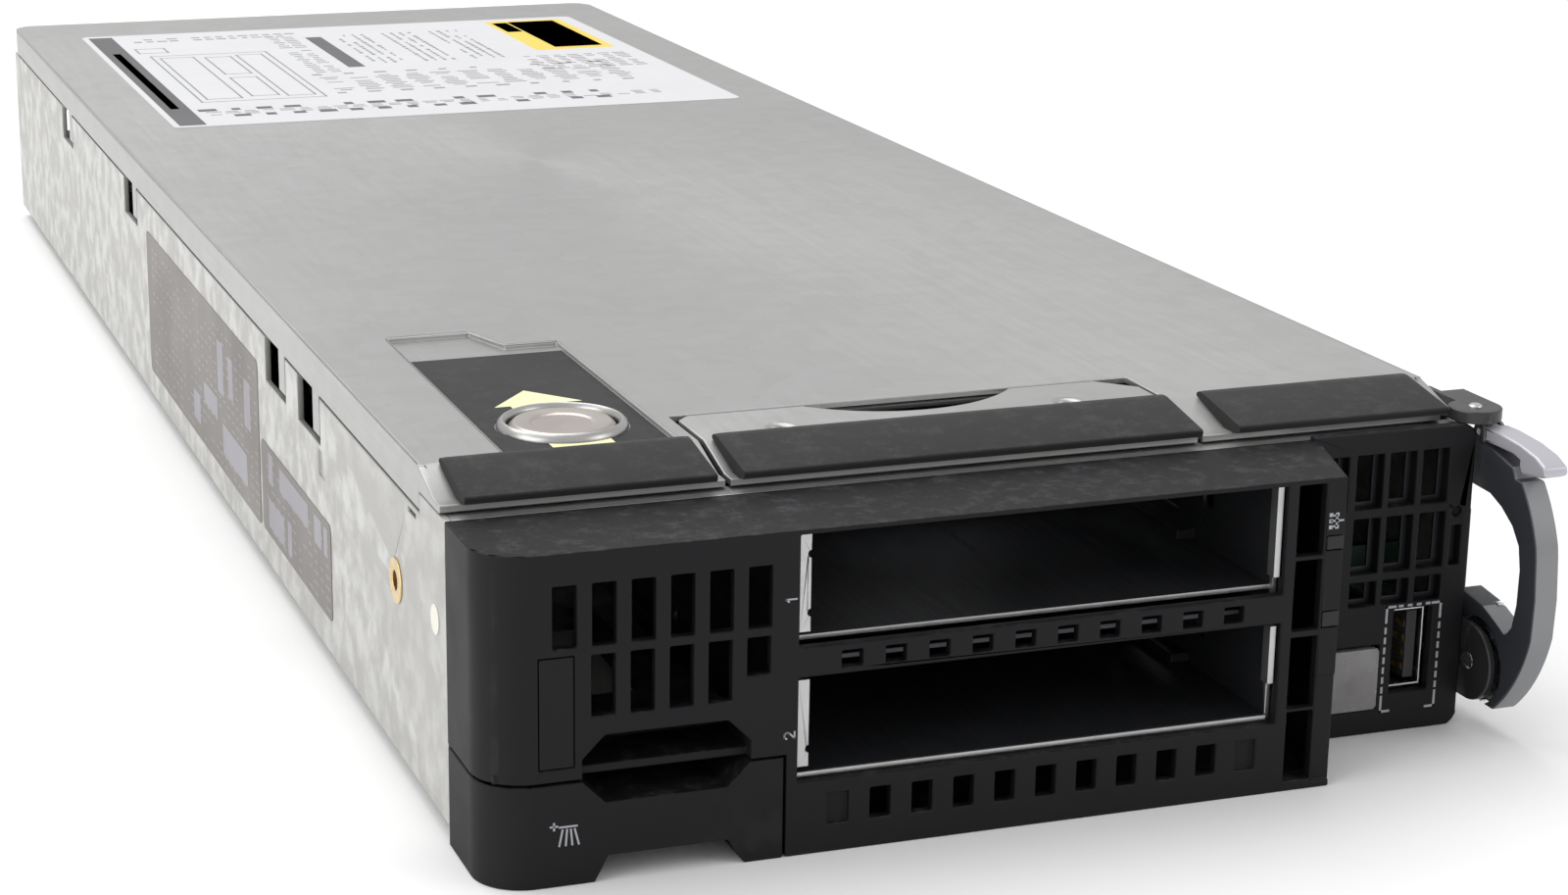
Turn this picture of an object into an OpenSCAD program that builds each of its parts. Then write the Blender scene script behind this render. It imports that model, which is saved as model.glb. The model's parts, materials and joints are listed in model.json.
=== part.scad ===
/* [Overall] */
// Width over the release lever
overall_w = 181; // [176:1:188]
// Depth from the bezel face to the rear edge
overall_d = 517; // [510:1:530]
// Height of the hood's top sheet above the resting plane
hood_z = 56.1; // [55.5:0.1:58]

/* [Sheet metal] */
// Thickness of the tray and hood sheet
sheet_t = 1.2; // [1:0.1:1.4]
// Thickness of the drive cage sheet
cage_t = 0.8; // [0.6:0.1:1]
// Underside of the tray above the bezel's lower edge
tray_z = 3.2; // [2.5:0.1:4]
// Height of the hood's side flanges
flange_h = 7; // [6:0.5:8]
// How far the hood slides back to come off
hood_travel = 12; // [8:0.5:14]
// Clearance between sliding sheets
slide_gap = 0.3; // [0.3:0.05:0.4]

/* [Bezel] */
// Depth of the bezel in front of the tray
bezel_d = 20.4; // [19:0.1:22]
// Height of the bezel's main block
bezel_h = 51.8; // [51.5:0.1:52]
// Width of the main block at its face
block_w = 140.3; // [139.5:0.1:141]
// Slant of the main block's right end
block_slant = 5.7; // [4:0.1:6]
// Wall thickness of the bezel
bezel_t = 2; // [1.6:0.1:2.4]
// Radius of the bezel's left corner
bezel_r = 8; // [6:0.5:9]
// Depth of the port panel behind the block's face
panel_y = 18.1; // [17:0.1:18.2]

/* [Drive bays] */
// Left side of both bays
bay_x = 49.5; // [49.3:0.1:50]
// Clear width of a bay
bay_w = 79.8; // [79:0.1:80]
// Floor of the upper bay
bay_1_z = 34.3; // [34:0.1:35]
// Height of the upper bay
bay_1_h = 16; // [15.5:0.1:16.2]
// Floor of the lower bay
bay_2_z = 12.8; // [12.4:0.1:13]
// Height of the lower bay
bay_2_h = 15.2; // [15:0.1:15.6]
// Depth of the bays
bay_d = 118; // [110:1:122]

/* [Pull tab] */
// Width of the pull tab
tab_w = 46.8; // [45:0.1:47]
// Height of the pull tab
tab_h = 16.2; // [15.5:0.1:16.5]
// How far the pull tab comes out
tab_travel = 45; // [30:1:50]

/* [Release lever] */
// Thickness of the lever
lever_t = 4.4; // [4:0.1:4.8]
// Height of the lever's pivot
pivot_z = 12; // [11:0.1:13]
// Place of the pivot behind the bezel face
pivot_y = 15.9; // [15:0.1:16.5]
// Radius of the pivot pin
pin_r = 1.5; // [1.2:0.1:2]
// Radius of the bracket's round ear
ear_r = 6.6; // [5.5:0.1:7]

/* [Hood latch] */
// Distance of the latch from the left side
latch_x = 28.3; // [27:0.1:30]
// Distance of the latch behind the bezel face
latch_y = 53.4; // [52:0.1:56]
// Outer radius of the latch ring
ring_r = 10.8; // [10:0.1:11.5]
// Radius of the latch button
button_r = 8.8; // [8:0.1:9]
// Travel of the latch button
button_travel = 2; // [1:0.1:2.5]
// Depth of the sunk latch pocket
pocket_drop = 0.8; // [0.6:0.1:1.4]

/* [Gaskets] */
// Height of the foam gaskets above the hood
gasket_rise = 1.2; // [1:0.1:3]
// Depth of the foam gaskets
gasket_d = 14.5; // [12:0.5:15]

/* [Boards] */
// Thickness of the circuit boards
board_t = 1.6; // [1.2:0.1:2]
// Height of the board standoffs
standoff_h = 3.4; // [3:0.1:4]
// Width of a heatsink
sink_w = 78; // [74:1:80]
// Length of a heatsink
sink_l = 96; // [88:1:100]
// Height of a heatsink
sink_h = 34; // [28:1:36]
// Fins on a heatsink
fin_count = 24; // [12:1:26]
// Length of a memory module
dimm_l = 133.35; // [130:0.01:134]
// Height of a memory module
dimm_h = 31.25; // [30:0.01:32]
// Distance between memory sockets
dimm_pitch = 9; // [8:0.1:9.2]

/* [Hidden] */

$fn = 48;
eps = 0.01;
steel = [0.73, 0.73, 0.72];
bezel_black = [0.15, 0.15, 0.16];
board_green = [0.1, 0.28, 0.17];

ear_t = 1.2;
side_gap = 0.3;
tray_w = overall_w - lever_t - side_gap - ear_t;
tray_top = bezel_h;
tray_floor = tray_z + sheet_t;
flange_y = bezel_d + 15.5;
flange_z = hood_z - flange_h;
wall_z = flange_z - slide_gap - 0.2;
joggle = sheet_t + slide_gap;
front_flange_d = 4.5;

lip_z = bezel_h + slide_gap;
lip_y = bezel_d + 3;
lip_d = 3.2;
ramp_end_y = bezel_d + 16;
cut_x = bay_x - 4;
cut_w = bay_w + 2;
cut_y = bezel_d + 31;
cut_gap = 0.8;

pocket_x = 14.2;
pocket_w = 28.6;
pocket_y = bezel_d + 95;
pocket_step_y = bezel_d + 84;
pocket_step_x = 31.5;
pocket_z = hood_z - pocket_drop;
ramp_l = 3;

slot_l = 6.4 + hood_travel;
slot_z = 40;
tab_hook_w = 5.2;
slot_ys = [106, 135, 300, 402];

panel_t = 2;
panel_x = block_w + block_slant;
panel_h = bezel_h + 0.9;
part_gap = 0.4;
vent_w = 4.9;
vent_pitch = 6.15;
vent_x = 153.1;
vent_rows = [[39.6, 9.3], [28.4, 9.6], [22.7, 4.3]];

scoop_x = 15.1;
scoop_w = 26.4;
scoop_z = 12.6;
scoop_h = 10.6;
scoop_cut = 3.6;
scoop_d = 12;

card_z = scoop_z - 3.2;
card_t = 1.2;
card_y = bezel_t + 0.8;
card_inset = 3.3;
tab_card_l = tab_travel + 33;

lever_x = overall_w - lever_t;
ear_x = tray_w;
cam_t = 1.2;

cage_y = 0.9;
board_z = tray_floor + standoff_h;
board_top = board_z + board_t;
backplane_y = cage_y + bay_d + 10;
board_y = backplane_y + 8.1;
board_l = overall_d - 12 - board_y;
board_x = 4;
bank_y = board_y + 7;
rear_y = overall_d - 26;
board_w = tray_w - 2 * board_x;
socket_t = 5;
sink_x = (tray_w - sink_w) / 2;
sink_ys = [bank_y + 5, bank_y + dimm_l + 8];
sink_z = board_top + socket_t;
dimm_ys = [bank_y, bank_y + dimm_l + 3.2];
dimm_left_x = board_x + 4;
dimm_right_x = tray_w - board_x - 4 - 3 * dimm_pitch - 6.5;
mezz_y = dimm_ys[1] + dimm_l + 3;
mezz_z = board_top + 12;
mezz_w = 74;
mezz_l = rear_y - 2 - mezz_y;
mezz_xs = [board_x + 5, tray_w - board_x - 5 - mezz_w];
corners = [0, 1];

module front_frame() {
    translate([-overall_w / 2, -overall_d / 2, 0]) children();
}

module slab_x(x, t) {
    translate([x, 0, 0]) rotate([90, 0, 90]) linear_extrude(t) children();
}

module slab_y(y, t) {
    translate([0, y + t, 0]) rotate([90, 0, 0]) linear_extrude(t) children();
}

module block(x, y, z, w, d, h) {
    translate([x, y, z]) cube([w, d, h]);
}

module rounded_rect(w, h, r) {
    union() {
        translate([r, 0]) square([w - 2 * r, h]);
        translate([0, r]) square([w, h - 2 * r]);
        for (x = [r, w - r]) {
            for (y = [r, h - r]) translate([x, y]) circle(r);
        }
    }
}

module rod_x(x, y, z, r, l) {
    translate([x, y, z]) rotate([0, 90, 0]) cylinder(r = r, h = l);
}

module rod_y(x, y, z, r, l) {
    translate([x, y, z]) rotate([-90, 0, 0]) cylinder(r = r, h = l);
}

// Tray floor between two walls that step inwards behind the hood's flanges
step_y = ramp_end_y + hood_travel + 1;
wall_end_y = overall_d - 3;
rear_tab_l = 7;

module tray_wall() {
    block(0, bezel_d, tray_z, sheet_t, overall_d - bezel_d, wall_z - tray_z);
    block(0, bezel_d, wall_z - eps, sheet_t, flange_y - slide_gap - bezel_d, tray_top - wall_z + eps);
    block(joggle, flange_y - slide_gap, wall_z - sheet_t, sheet_t, step_y - flange_y, lip_z - slide_gap - wall_z + sheet_t);
    block(joggle, step_y - 1, wall_z - sheet_t, sheet_t, wall_end_y - step_y + 1, hood_z - slide_gap - wall_z);
    block(0, flange_y - slide_gap, wall_z - sheet_t, joggle + eps, wall_end_y - flange_y, sheet_t);
    block(0, overall_d - sheet_t, tray_floor, rear_tab_l, sheet_t, wall_z - tray_floor);
}

module wall_cuts() {
    for (y = slot_ys) {
        block(-1, y, slot_z, joggle + sheet_t + 2, slot_l, wall_z + 1 - slot_z);
    }
    block(-1, bezel_d + 17.6, 46.8, sheet_t + 2, 5, 0.9);
    block(-1, bezel_d + 83, 34.4, 1.4, 5, 4.8);
}

module chassis_tray() {
    front_frame() color(steel) union() {
        block(sheet_t, bezel_d, tray_z, tray_w - 2 * sheet_t, overall_d - bezel_d, sheet_t);
        block(rear_tab_l, overall_d - sheet_t, tray_z, tray_w - 2 * rear_tab_l, sheet_t, 6);
    }
}

module side_wall_left() {
    front_frame() color(steel) difference() {
        tray_wall();
        wall_cuts();
        rod_x(-1, insert_y, insert_z, insert_r, sheet_t + 2);
    }
}

module side_wall_right() {
    front_frame() color(steel) translate([tray_w, 0, 0]) mirror([1, 0, 0]) difference() {
        tray_wall();
        wall_cuts();
    }
}

// Cross strip that ties the walls together under the hood's lip
module front_rail() {
    front_frame() color(steel) block(sheet_t, bezel_d, tray_top - sheet_t, tray_w - 2 * sheet_t, front_flange_d, sheet_t);
}

insert_y = bezel_d + 31;
insert_z = 32.8;
insert_r = 3.4;
insert_bore_r = 1.65;
insert_l = 5.2;
insert_head = 0.3;

module side_insert() {
    front_frame() color([0.79, 0.7, 0.48]) difference() {
        union() {
            rod_x(0, insert_y, insert_z, insert_r, insert_l);
            rod_x(-insert_head, insert_y, insert_z, insert_r + 0.4, insert_head);
            rod_x(sheet_t, insert_y, insert_z, insert_r + 0.6, 0.8);
        }
        rod_x(-1, insert_y, insert_z, insert_bore_r, insert_l + 2);
    }
}

module side_dot() {
    front_frame() color([0.9, 0.89, 0.82]) rod_x(-0.15, bezel_d + 6.2, 34.4, 2.4, 0.15);
}

module side_label(y, z, l, h) {
    front_frame() color([0.54, 0.52, 0.5]) slab_x(-0.12, 0.12) translate([y, z]) rounded_rect(l, h, 1.5);
}

module side_label_front() {
    side_label(bezel_d + 79, 9.6, overall_d * 0.116, wall_z * 0.367);
}

module side_label_rear() {
    side_label(bezel_d + 141, 9.2, overall_d * 0.244, wall_z * 0.672);
}

// Perforated sheet behind the port panel
screen_t = 0.6;

module front_screen() {
    front_frame() color(steel) slab_y(bezel_d, screen_t) difference() {
        translate([panel_x + 0.5, tray_floor]) square([tray_w - sheet_t - panel_x - 0.5, tray_top - sheet_t - tray_floor]);
        translate([-0.7, 0.7]) panel_vents_2d();
        translate([usb_x - 0.6, usb_z - 0.6]) square([usb_w + 1.2, usb_h + 1.2]);
        translate([power_x - 0.4, power_z - 0.4]) square([power_w + 0.8, power_h + 0.8]);
    }
}

// Drive cage: two bays, one above the other
cage_z = bay_2_z - cage_t;
cage_l = bay_d + 10;
cage_top_front = tray_top - sheet_t - 0.3;
cage_top = hood_z - sheet_t;
cage_side_top = lip_z - slide_gap;
seat_y = ramp_end_y + 1;
seat_l = 8;
seat_w = 4;
rib_y = [24, 56, 88];

side_y = bezel_t + slide_gap;
hem_top = bezel_h - 0.9;
hem_d = side_y + cage_t - cage_y;

module cage_side_2d() {
    polygon([[side_y, cage_z], [cage_y + cage_l, cage_z], [cage_y + cage_l, cage_side_top],
        [bezel_d + front_flange_d + 2, cage_side_top], [bezel_d + front_flange_d + 2, cage_top_front],
        [side_y, cage_top_front]]);
}

// Folded front edges that show inside the bezel's openings
module cage_hems() {
    difference() {
        for (z = [[bay_1_z + 1.2, hem_top], [bay_2_z + 1.2, bay_2_z + bay_2_h]]) {
            block(bay_x - 0.3, cage_y, z[0], 1.9, hem_d, z[1] - z[0]);
        }
        for (z = [bay_1_z + 4.2, bay_1_z + 13.4, bay_2_z + 4]) rod_y(bay_x + 1.6, cage_y - 1, z, 0.6, hem_d + 2);
    }
    for (z = [[bay_1_z + 1.7, hem_top], [bay_2_z + 5.5, bay_2_z + bay_2_h]]) {
        block(bay_x + bay_w - 0.6, cage_y, z[0], 1.1, hem_d, z[1] - z[0]);
    }
}

module cage_side() {
    slab_x(0, cage_t) difference() {
        cage_side_2d();
        for (z = [bay_1_z + 8, bay_2_z + 7.5]) {
            for (y = rib_y) translate([y, z]) circle(1.7);
            translate([34, z - 4.6]) square([14, 2.4]);
            translate([70, z - 4.6]) square([12, 2.4]);
        }
    }
}

module drive_cage() {
    front_frame() color([0.7, 0.71, 0.73]) union() {
        translate([bay_x - cage_t, 0, 0]) cage_side();
        translate([bay_x + bay_w, 0, 0]) cage_side();
        cage_hems();
        for (plate = [[bay_2_z, 0.8], [bay_1_z, 2.2], [bay_2_z + bay_2_h + cage_t, 7]]) {
            block(bay_x - eps, cage_y + plate[1], plate[0] - cage_t, bay_w + 2 * eps, cage_l - plate[1], cage_t);
        }
        for (z = [bay_1_z, bay_2_z]) {
            for (x = [bay_x - eps, bay_x + bay_w - 3]) {
                block(x, bezel_d + 8, z - eps, 3 + eps, bay_d - bezel_d - 12, 1.4);
            }
        }
        for (x = [bay_x + 6, bay_x + bay_w - 14]) {
            block(x, 60, tray_floor, 8, 12, cage_z - tray_floor + eps);
        }
        for (x = [bay_x - cage_t, plate_x + plate_w - seat_w]) {
            block(x, seat_y, cage_side_top - cage_t, seat_w, seat_l, cage_top - cage_side_top + cage_t);
        }
        block(plate_x + plate_w - seat_w, seat_y, cage_side_top - cage_t, bay_x + bay_w - plate_x - plate_w + seat_w + eps, seat_l, cage_t);
    }
}

// Fixed plate over the cage, with the hood's front profile
plate_x = cut_x + cut_gap;
plate_w = cut_w - 2 * cut_gap;
plate_y = cut_y - cut_gap;
plate_holes = [60.6, 111];
plate_hole_y = bezel_d + 19.4;
plate_hole_r = 1.9;
finger_x = 68.4;
finger_w = 36.8;
finger_d = 8;
finger_r = (finger_w * finger_w / 4 + finger_d * finger_d) / (2 * finger_d);

module ramp_profile(y_end) {
    polygon([[lip_y, lip_z], [lip_y + lip_d, lip_z], [ramp_end_y, hood_z - sheet_t], [y_end, hood_z - sheet_t],
        [y_end, hood_z], [ramp_end_y, hood_z], [lip_y + lip_d, lip_z + sheet_t], [lip_y, lip_z + sheet_t]]);
}

module centre_plate() {
    front_frame() color(steel) difference() {
        slab_x(plate_x, plate_w) ramp_profile(plate_y);
        for (x = plate_holes) {
            translate([x, plate_hole_y, hood_z - sheet_t - 1]) cylinder(r = plate_hole_r, h = sheet_t + 2);
            translate([x, plate_hole_y, hood_z - 0.5]) cylinder(r1 = plate_hole_r, r2 = plate_hole_r + 0.9, h = 0.5 + eps);
        }
        translate([finger_x + finger_w / 2, plate_y + finger_r - finger_d, hood_z - 3]) cylinder(r = finger_r, h = 5, $fn = 96);
        translate([plate_x + plate_w, plate_y, hood_z - 3]) rotate([0, 0, 45]) cube([8, 8, 12], center = true);
        translate([plate_x, plate_y, hood_z - 3]) rotate([0, 0, 45]) cube([3, 3, 12], center = true);
    }
}

// Bezel
module block_plan(inset) {
    r = bezel_r - inset;
    difference() {
        polygon([[inset, inset], [block_w - inset, inset], [block_w - inset + block_slant, panel_y],
            [block_w - inset + block_slant, bezel_d + eps * inset], [inset, bezel_d + eps * inset]]);
        difference() {
            translate([inset - 1, inset - 1]) square(r + 1);
            translate([bezel_r, bezel_r]) circle(r);
        }
    }
}

module octagon_2d(grow) {
    translate([scoop_x - grow, scoop_z - grow]) polygon([[scoop_cut, 0], [scoop_w + 2 * grow - scoop_cut, 0],
        [scoop_w + 2 * grow, scoop_cut], [scoop_w + 2 * grow, scoop_h + 2 * grow - scoop_cut],
        [scoop_w + 2 * grow - scoop_cut, scoop_h + 2 * grow], [scoop_cut, scoop_h + 2 * grow],
        [0, scoop_h + 2 * grow - scoop_cut], [0, scoop_cut]]);
}

slot_w = 3.7;
slot_pitch = 6.05;
row_1_z = 37.2;
row_1_h = 9.6;
row_2_z = 26.2;
row_2_h = 9.6;
tall_x = 132;
tall_w = 4.8;
tall_slots = [[1.7, 11.7], [13.9, 12], [26.9, 11.7], [39.3, 11.7]];
window_x = 137.3;
window_w = 3.3;
windows = [[27, 2.8], [39.8, 2.5]];
strip_h = 17.8;
badge_x = 8.4;
badge_z = 18.6;
badge_w = 5.6;
badge_h = 17.4;

module block_face_cuts_2d() {
    for (i = [0 : 5]) translate([10.7 + i * slot_pitch, row_1_z]) square([slot_w, row_1_h]);
    for (i = [0 : 3]) translate([16.6 + i * slot_pitch, row_2_z]) square([slot_w, row_2_h]);
    translate([16.6 + 4 * slot_pitch, row_2_z + 3.6]) square([slot_w, row_2_h - 3.6]);
    translate([bay_x - 0.5, bay_1_z - 1]) square([bay_w + 1.3, bezel_h - 0.8 - bay_1_z + 1]);
    translate([bay_x - 0.5, bay_2_z - 1]) square([bay_w + 1.3, bay_2_h + 1.6]);
    for (i = [0 : 9]) translate([55.9 + i * 7.12, 29.3 + 0.2]) square([3.4, 2.7]);
    for (i = [1 : 9]) low_vent_2d(i);
    for (s = tall_slots) translate([tall_x, s[0]]) square([tall_w, s[1]]);
    for (s = windows) translate([window_x, s[0]]) square([window_w, s[1]]);
    octagon_2d(0);
}

module low_vent_2d(i) {
    translate([54 + i * 6.93, 4.6]) square([3.4, 5]);
}

module tab_space(gap) {
    block(-1, -1, -1, tab_w + gap + 1, bezel_d + 2, tab_h + gap + 1);
}

usb_x = 161.9;
usb_w = 7.2;
usb_z = 6.9;
usb_h = 14.7;
power_x = 148.4;
power_w = 10.8;
power_z = 4.6;
power_h = 10.8;
power_travel = 0.8;

module panel_vents_2d() {
    for (i = [0 : 2]) {
        for (row = vent_rows) translate([vent_x + i * vent_pitch, row[0]]) square([vent_w, row[1]]);
    }
    translate([vent_x - vent_pitch + 0.1, vent_rows[0][0]]) square([vent_w - 0.5, vent_rows[0][1]]);
    translate([vent_x + 3 * vent_pitch, vent_rows[1][0]]) square([tray_w - 1.6 - vent_x - 3 * vent_pitch, vent_rows[1][1] - 2.6]);
}

module front_bezel() {
    front_frame() color(bezel_black) difference() {
        union() {
            difference() {
                linear_extrude(bezel_h) block_plan(0);
                translate([0, 0, bezel_t]) linear_extrude(bezel_h - bezel_t - 0.8) block_plan(bezel_t);
                slab_y(-1, bezel_t + 2) block_face_cuts_2d();
                tab_space(part_gap);
            }
            block(bezel_t, bezel_t, tab_h + part_gap, tab_w - bezel_t, bezel_d - bezel_t, 1.4);
            block(tab_w + part_gap, 0, 0, 1.4, bezel_d, tab_h + part_gap + 1.4);
            scoop_pocket();
            slab_y(panel_y, panel_t) panel_2d();
        }
        tab_space(part_gap);
        slab_y(panel_y - 1, panel_t + 2) panel_vents_2d();
        slab_y(panel_y - 1, panel_t + 2) translate([usb_x, usb_z]) square([usb_w, usb_h]);
        slab_y(panel_y - 1, panel_t + 2) translate([power_x - 0.3, power_z - 0.3]) square([power_w + 0.6, power_h + 0.6]);
        slab_y(-1, 1.6) translate([badge_x, badge_z]) square([badge_w, badge_h]);
        for (i = [0, 10]) slab_y(-1, 1.8) low_vent_2d(i);
        slab_y(-1, 1.5) translate([window_x, 1.2]) square([window_w + 1, strip_h]);
        rod_y(tray_w - 2.7, panel_y - 1, 37.8, 0.9, 1.8);
    }
}

module panel_2d() {
    difference() {
        translate([panel_x - 1, 0]) square([tray_w - panel_x + 1, panel_h]);
        translate([tray_w - 2.5, panel_h - 2.5]) difference() {
            square(3);
            circle(2.5);
        }
        translate([tray_w - 2.5, 0]) difference() {
            translate([0, -0.5]) square(3);
            translate([0, 2.5]) circle(2.5);
        }
    }
}

module badge_plate() {
    front_frame() color([0.1, 0.1, 0.11]) slab_y(0.1, 0.5) translate([badge_x + 0.15, badge_z + 0.15]) square([badge_w - 0.3, badge_h - 0.3]);
}

module light_windows() {
    front_frame() color([0.3, 0.3, 0.32]) for (s = windows) {
        slab_y(0.2, bezel_t) translate([window_x + 0.15, s[0] + 0.15]) square([window_w - 0.3, s[1] - 0.3]);
    }
}

// Pull tab: a corner shell with half of the finger scoop in its upper edge
notch_x = 16.7;
notch_w = 24.2;
notch_h = 4;

module tab_plan(inset) {
    intersection() {
        block_plan(inset);
        square([tab_w - inset, bezel_d - slide_gap]);
    }
}

module scoop_pocket() {
    slab_y(scoop_d, 1.4) octagon_2d(1.2);
    slab_y(bezel_t - eps, scoop_d) difference() {
        octagon_2d(1.2);
        octagon_2d(0);
    }
}

module pull_tab() {
    front_frame() color(bezel_black) union() {
        difference() {
            linear_extrude(tab_h) tab_plan(0);
            translate([0, 0, bezel_t]) linear_extrude(tab_h) tab_plan(bezel_t);
            translate([bezel_t, bezel_d - 3, bezel_t]) cube([tab_w - 2 * bezel_t, 4, tab_h]);
            slab_y(-1, scoop_d) octagon_2d(0);
            slab_y(-1, 11) polygon([[notch_x, -1], [notch_x + 0.3, 0], [notch_x + 2.4, notch_h],
                [notch_x + notch_w - 2.8, notch_h], [notch_x + notch_w - 0.3, 0], [notch_x + notch_w, -1]]);
        }
        intersection() {
            scoop_pocket();
            cube([tab_w, bezel_d, tab_h]);
        }
    }
}

module tab_card() {
    front_frame() color([0.82, 0.82, 0.8]) union() {
        block(bezel_t + card_inset, card_y, card_z, tab_w - 2 * bezel_t - 2 * card_inset, tab_card_l, card_t);
        block(bezel_t + card_inset, card_y, card_z, tab_w - 2 * bezel_t - card_inset - 0.3, 3, card_t);
        for (x = [bezel_r + 1, tab_w - bezel_t - 3.3]) block(x, bezel_t, bezel_t, 3, 1.6, card_z - bezel_t + card_t);
    }
}

module tab_guide() {
    front_frame() color([0.2, 0.2, 0.21]) for (side = corners) {
        translate([side * tab_w, 0, 0]) mirror([side, 0, 0]) difference() {
            block(bezel_t + 1.2, bezel_d + 2, tray_floor, 5, tab_card_l - bezel_d + 8, card_z + card_t + 1.4 - tray_floor);
            block(bezel_t + 2.9, bezel_d + 1, card_z - 0.3, 4, tab_card_l - bezel_d + 10, card_t + 0.6);
        }
    }
}

// Hood: top sheet, side flanges with hooks, sloped front and a sunk latch pocket
hood_rear_r = 6;
bar_r = 1.3;

// Closes the side of the sloped front down to the tray's wall
module cheek_2d() {
    polygon([[lip_y, lip_z], [flange_y + 1, lip_z], [flange_y + 1, hood_z - sheet_t], [ramp_end_y, hood_z - sheet_t + eps],
        [lip_y + lip_d, lip_z + sheet_t - eps], [lip_y, lip_z + sheet_t - eps]]);
}

module hood_sheet() {
    difference() {
        union() {
            slab_x(0, tray_w) ramp_profile(overall_d);
            block(0, flange_y, flange_z, sheet_t, overall_d - flange_y, flange_h - eps);
            block(tray_w - sheet_t, flange_y, flange_z, sheet_t, overall_d - flange_y, flange_h - eps);
            block(joggle, overall_d - sheet_t, hood_z - 5, tray_w - 2 * joggle, sheet_t, 5 - eps);
            for (x = [0, tray_w - sheet_t]) slab_x(x, sheet_t) cheek_2d();
        }
        block(cut_x, 0, hood_z - 10, cut_w, cut_y, 20);
        block(keeper_x - keeper_r - 0.5, 0, hood_z - 10, 2 * keeper_r + 2, keeper_y + keeper_r + 0.5, 20);
    }
}

module pocket_2d(inset) {
    polygon([[pocket_x + inset, ramp_end_y + 1 + inset], [pocket_x + pocket_w - inset, ramp_end_y + 1 + inset],
        [pocket_x + pocket_w - inset, pocket_step_y - inset], [pocket_step_x + 1.5, pocket_step_y - inset],
        [pocket_step_x - 2, pocket_y - inset], [pocket_x + inset, pocket_y - inset]]);
}

module hood() {
    front_frame() color(steel) difference() {
        union() {
            difference() {
                hood_sheet();
                translate([0, 0, hood_z - 5]) linear_extrude(10) pocket_2d(0);
            }
            translate([0, 0, pocket_z - sheet_t]) linear_extrude(sheet_t) pocket_2d(-0.8);
            translate([0, 0, pocket_z - eps]) linear_extrude(pocket_drop) difference() {
                pocket_2d(-0.8);
                pocket_2d(0.3);
            }
            for (y = slot_ys) {
                for (side = corners) {
                    translate([side * tray_w, 0, 0]) mirror([side, 0, 0]) hook(y);
                }
            }
            rod_x(finger_x, cut_y + bar_r, hood_z - bar_r, bar_r, finger_w);
        }
        translate([latch_x, latch_y, pocket_z - 3]) cylinder(r = ring_r - 1.2, h = 6);
        for (side = corners) {
            translate([side * tray_w, 0, 0]) mirror([side, 0, 0]) translate([0, overall_d, hood_z - 20]) difference() {
                translate([-1, -hood_rear_r, 0]) cube([hood_rear_r + 1, hood_rear_r + 1, 40]);
                translate([hood_rear_r, -hood_rear_r, -1]) cylinder(r = hood_rear_r, h = 42);
            }
        }
    }
}

module hook(y) {
    block(0, y + 0.6, slot_z + 1.5, sheet_t, tab_hook_w, flange_z - slot_z - 1.5 + eps);
    block(sheet_t - eps, y + 0.6, slot_z + 1.5, 1.6, tab_hook_w, sheet_t);
}

// Hood latch: ring crimped to the pocket, sprung button, housing under the hood
ring_h = 1.4;
button_top = pocket_z + 1;
button_t = 2.6;
housing_h = 9 + button_travel;
housing_wall = 1;
housing_floor = pocket_z - sheet_t - housing_h + housing_wall;
latch_coil_r = 4.6;
spring_wire = 0.9;
spring_turns = 6;

module latch_ring() {
    front_frame() color([0.8, 0.79, 0.78]) translate([latch_x, latch_y, 0]) rotate_extrude() polygon([
        [button_r + 0.3, pocket_z - sheet_t], [ring_r - 1.2, pocket_z - sheet_t], [ring_r - 1.2, pocket_z],
        [ring_r, pocket_z], [ring_r - 0.3, pocket_z + ring_h * 0.6], [ring_r - 0.9, pocket_z + ring_h],
        [button_r + 0.8, pocket_z + ring_h], [button_r + 0.3, pocket_z + ring_h * 0.5]]);
}

module latch_button() {
    front_frame() color([0.72, 0.68, 0.64]) translate([latch_x, latch_y, 0]) union() {
        rotate_extrude() polygon([[0, button_top - 6], [3, button_top - 6], [3, button_top - button_t],
            [button_r, button_top - button_t], [button_r, button_top - 0.8], [button_r - 0.9, button_top],
            [button_r * 0.62, button_top - 0.1], [button_r * 0.56, button_top - 0.45],
            [0, button_top - 0.3]]);
        translate([-2.5, -button_r + 1, button_top - 9]) cube([5, 2, 7]);
    }
}

module latch_spring() {
    front_frame() color([0.75, 0.75, 0.76]) translate([latch_x, latch_y, housing_floor]) coil(latch_coil_r, spring_wire, spring_turns, button_top - button_t - housing_floor);
}

// Helix of square wire: half a ring, twisted so that each turn leaves a gap as tall as the wire
module coil(r, wire, turns, h) {
    linear_extrude(h, twist = -360 * turns, slices = 12 * turns + 12) difference() {
        circle(r + wire / 2, $fn = 12);
        circle(r - wire / 2, $fn = 12);
        translate([-2 * r, -2 * r]) square([4 * r, 2 * r]);
    }
}

module latch_housing() {
    front_frame() color([0.22, 0.22, 0.23]) translate([latch_x, latch_y, pocket_z - sheet_t - housing_h]) difference() {
        translate([-ring_r - 1, -ring_r - 1, 0]) cube([2 * ring_r + 2, 2 * ring_r + 2, housing_h]);
        translate([0, 0, housing_wall]) cylinder(r = button_r + 0.5, h = housing_h);
        translate([-3.2, -button_r - 0.2, -1]) cube([6.4, 4, 8]);
    }
}

module latch_plate() {
    front_frame() color([0.22, 0.21, 0.22]) translate([0, 0, pocket_z]) linear_extrude(0.15) difference() {
        intersection() {
            pocket_2d(0.5);
            translate([pocket_x, 0]) square([pocket_w, pocket_step_y - 4]);
        }
        translate([latch_x, latch_y]) circle(ring_r + 0.15);
    }
}

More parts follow.
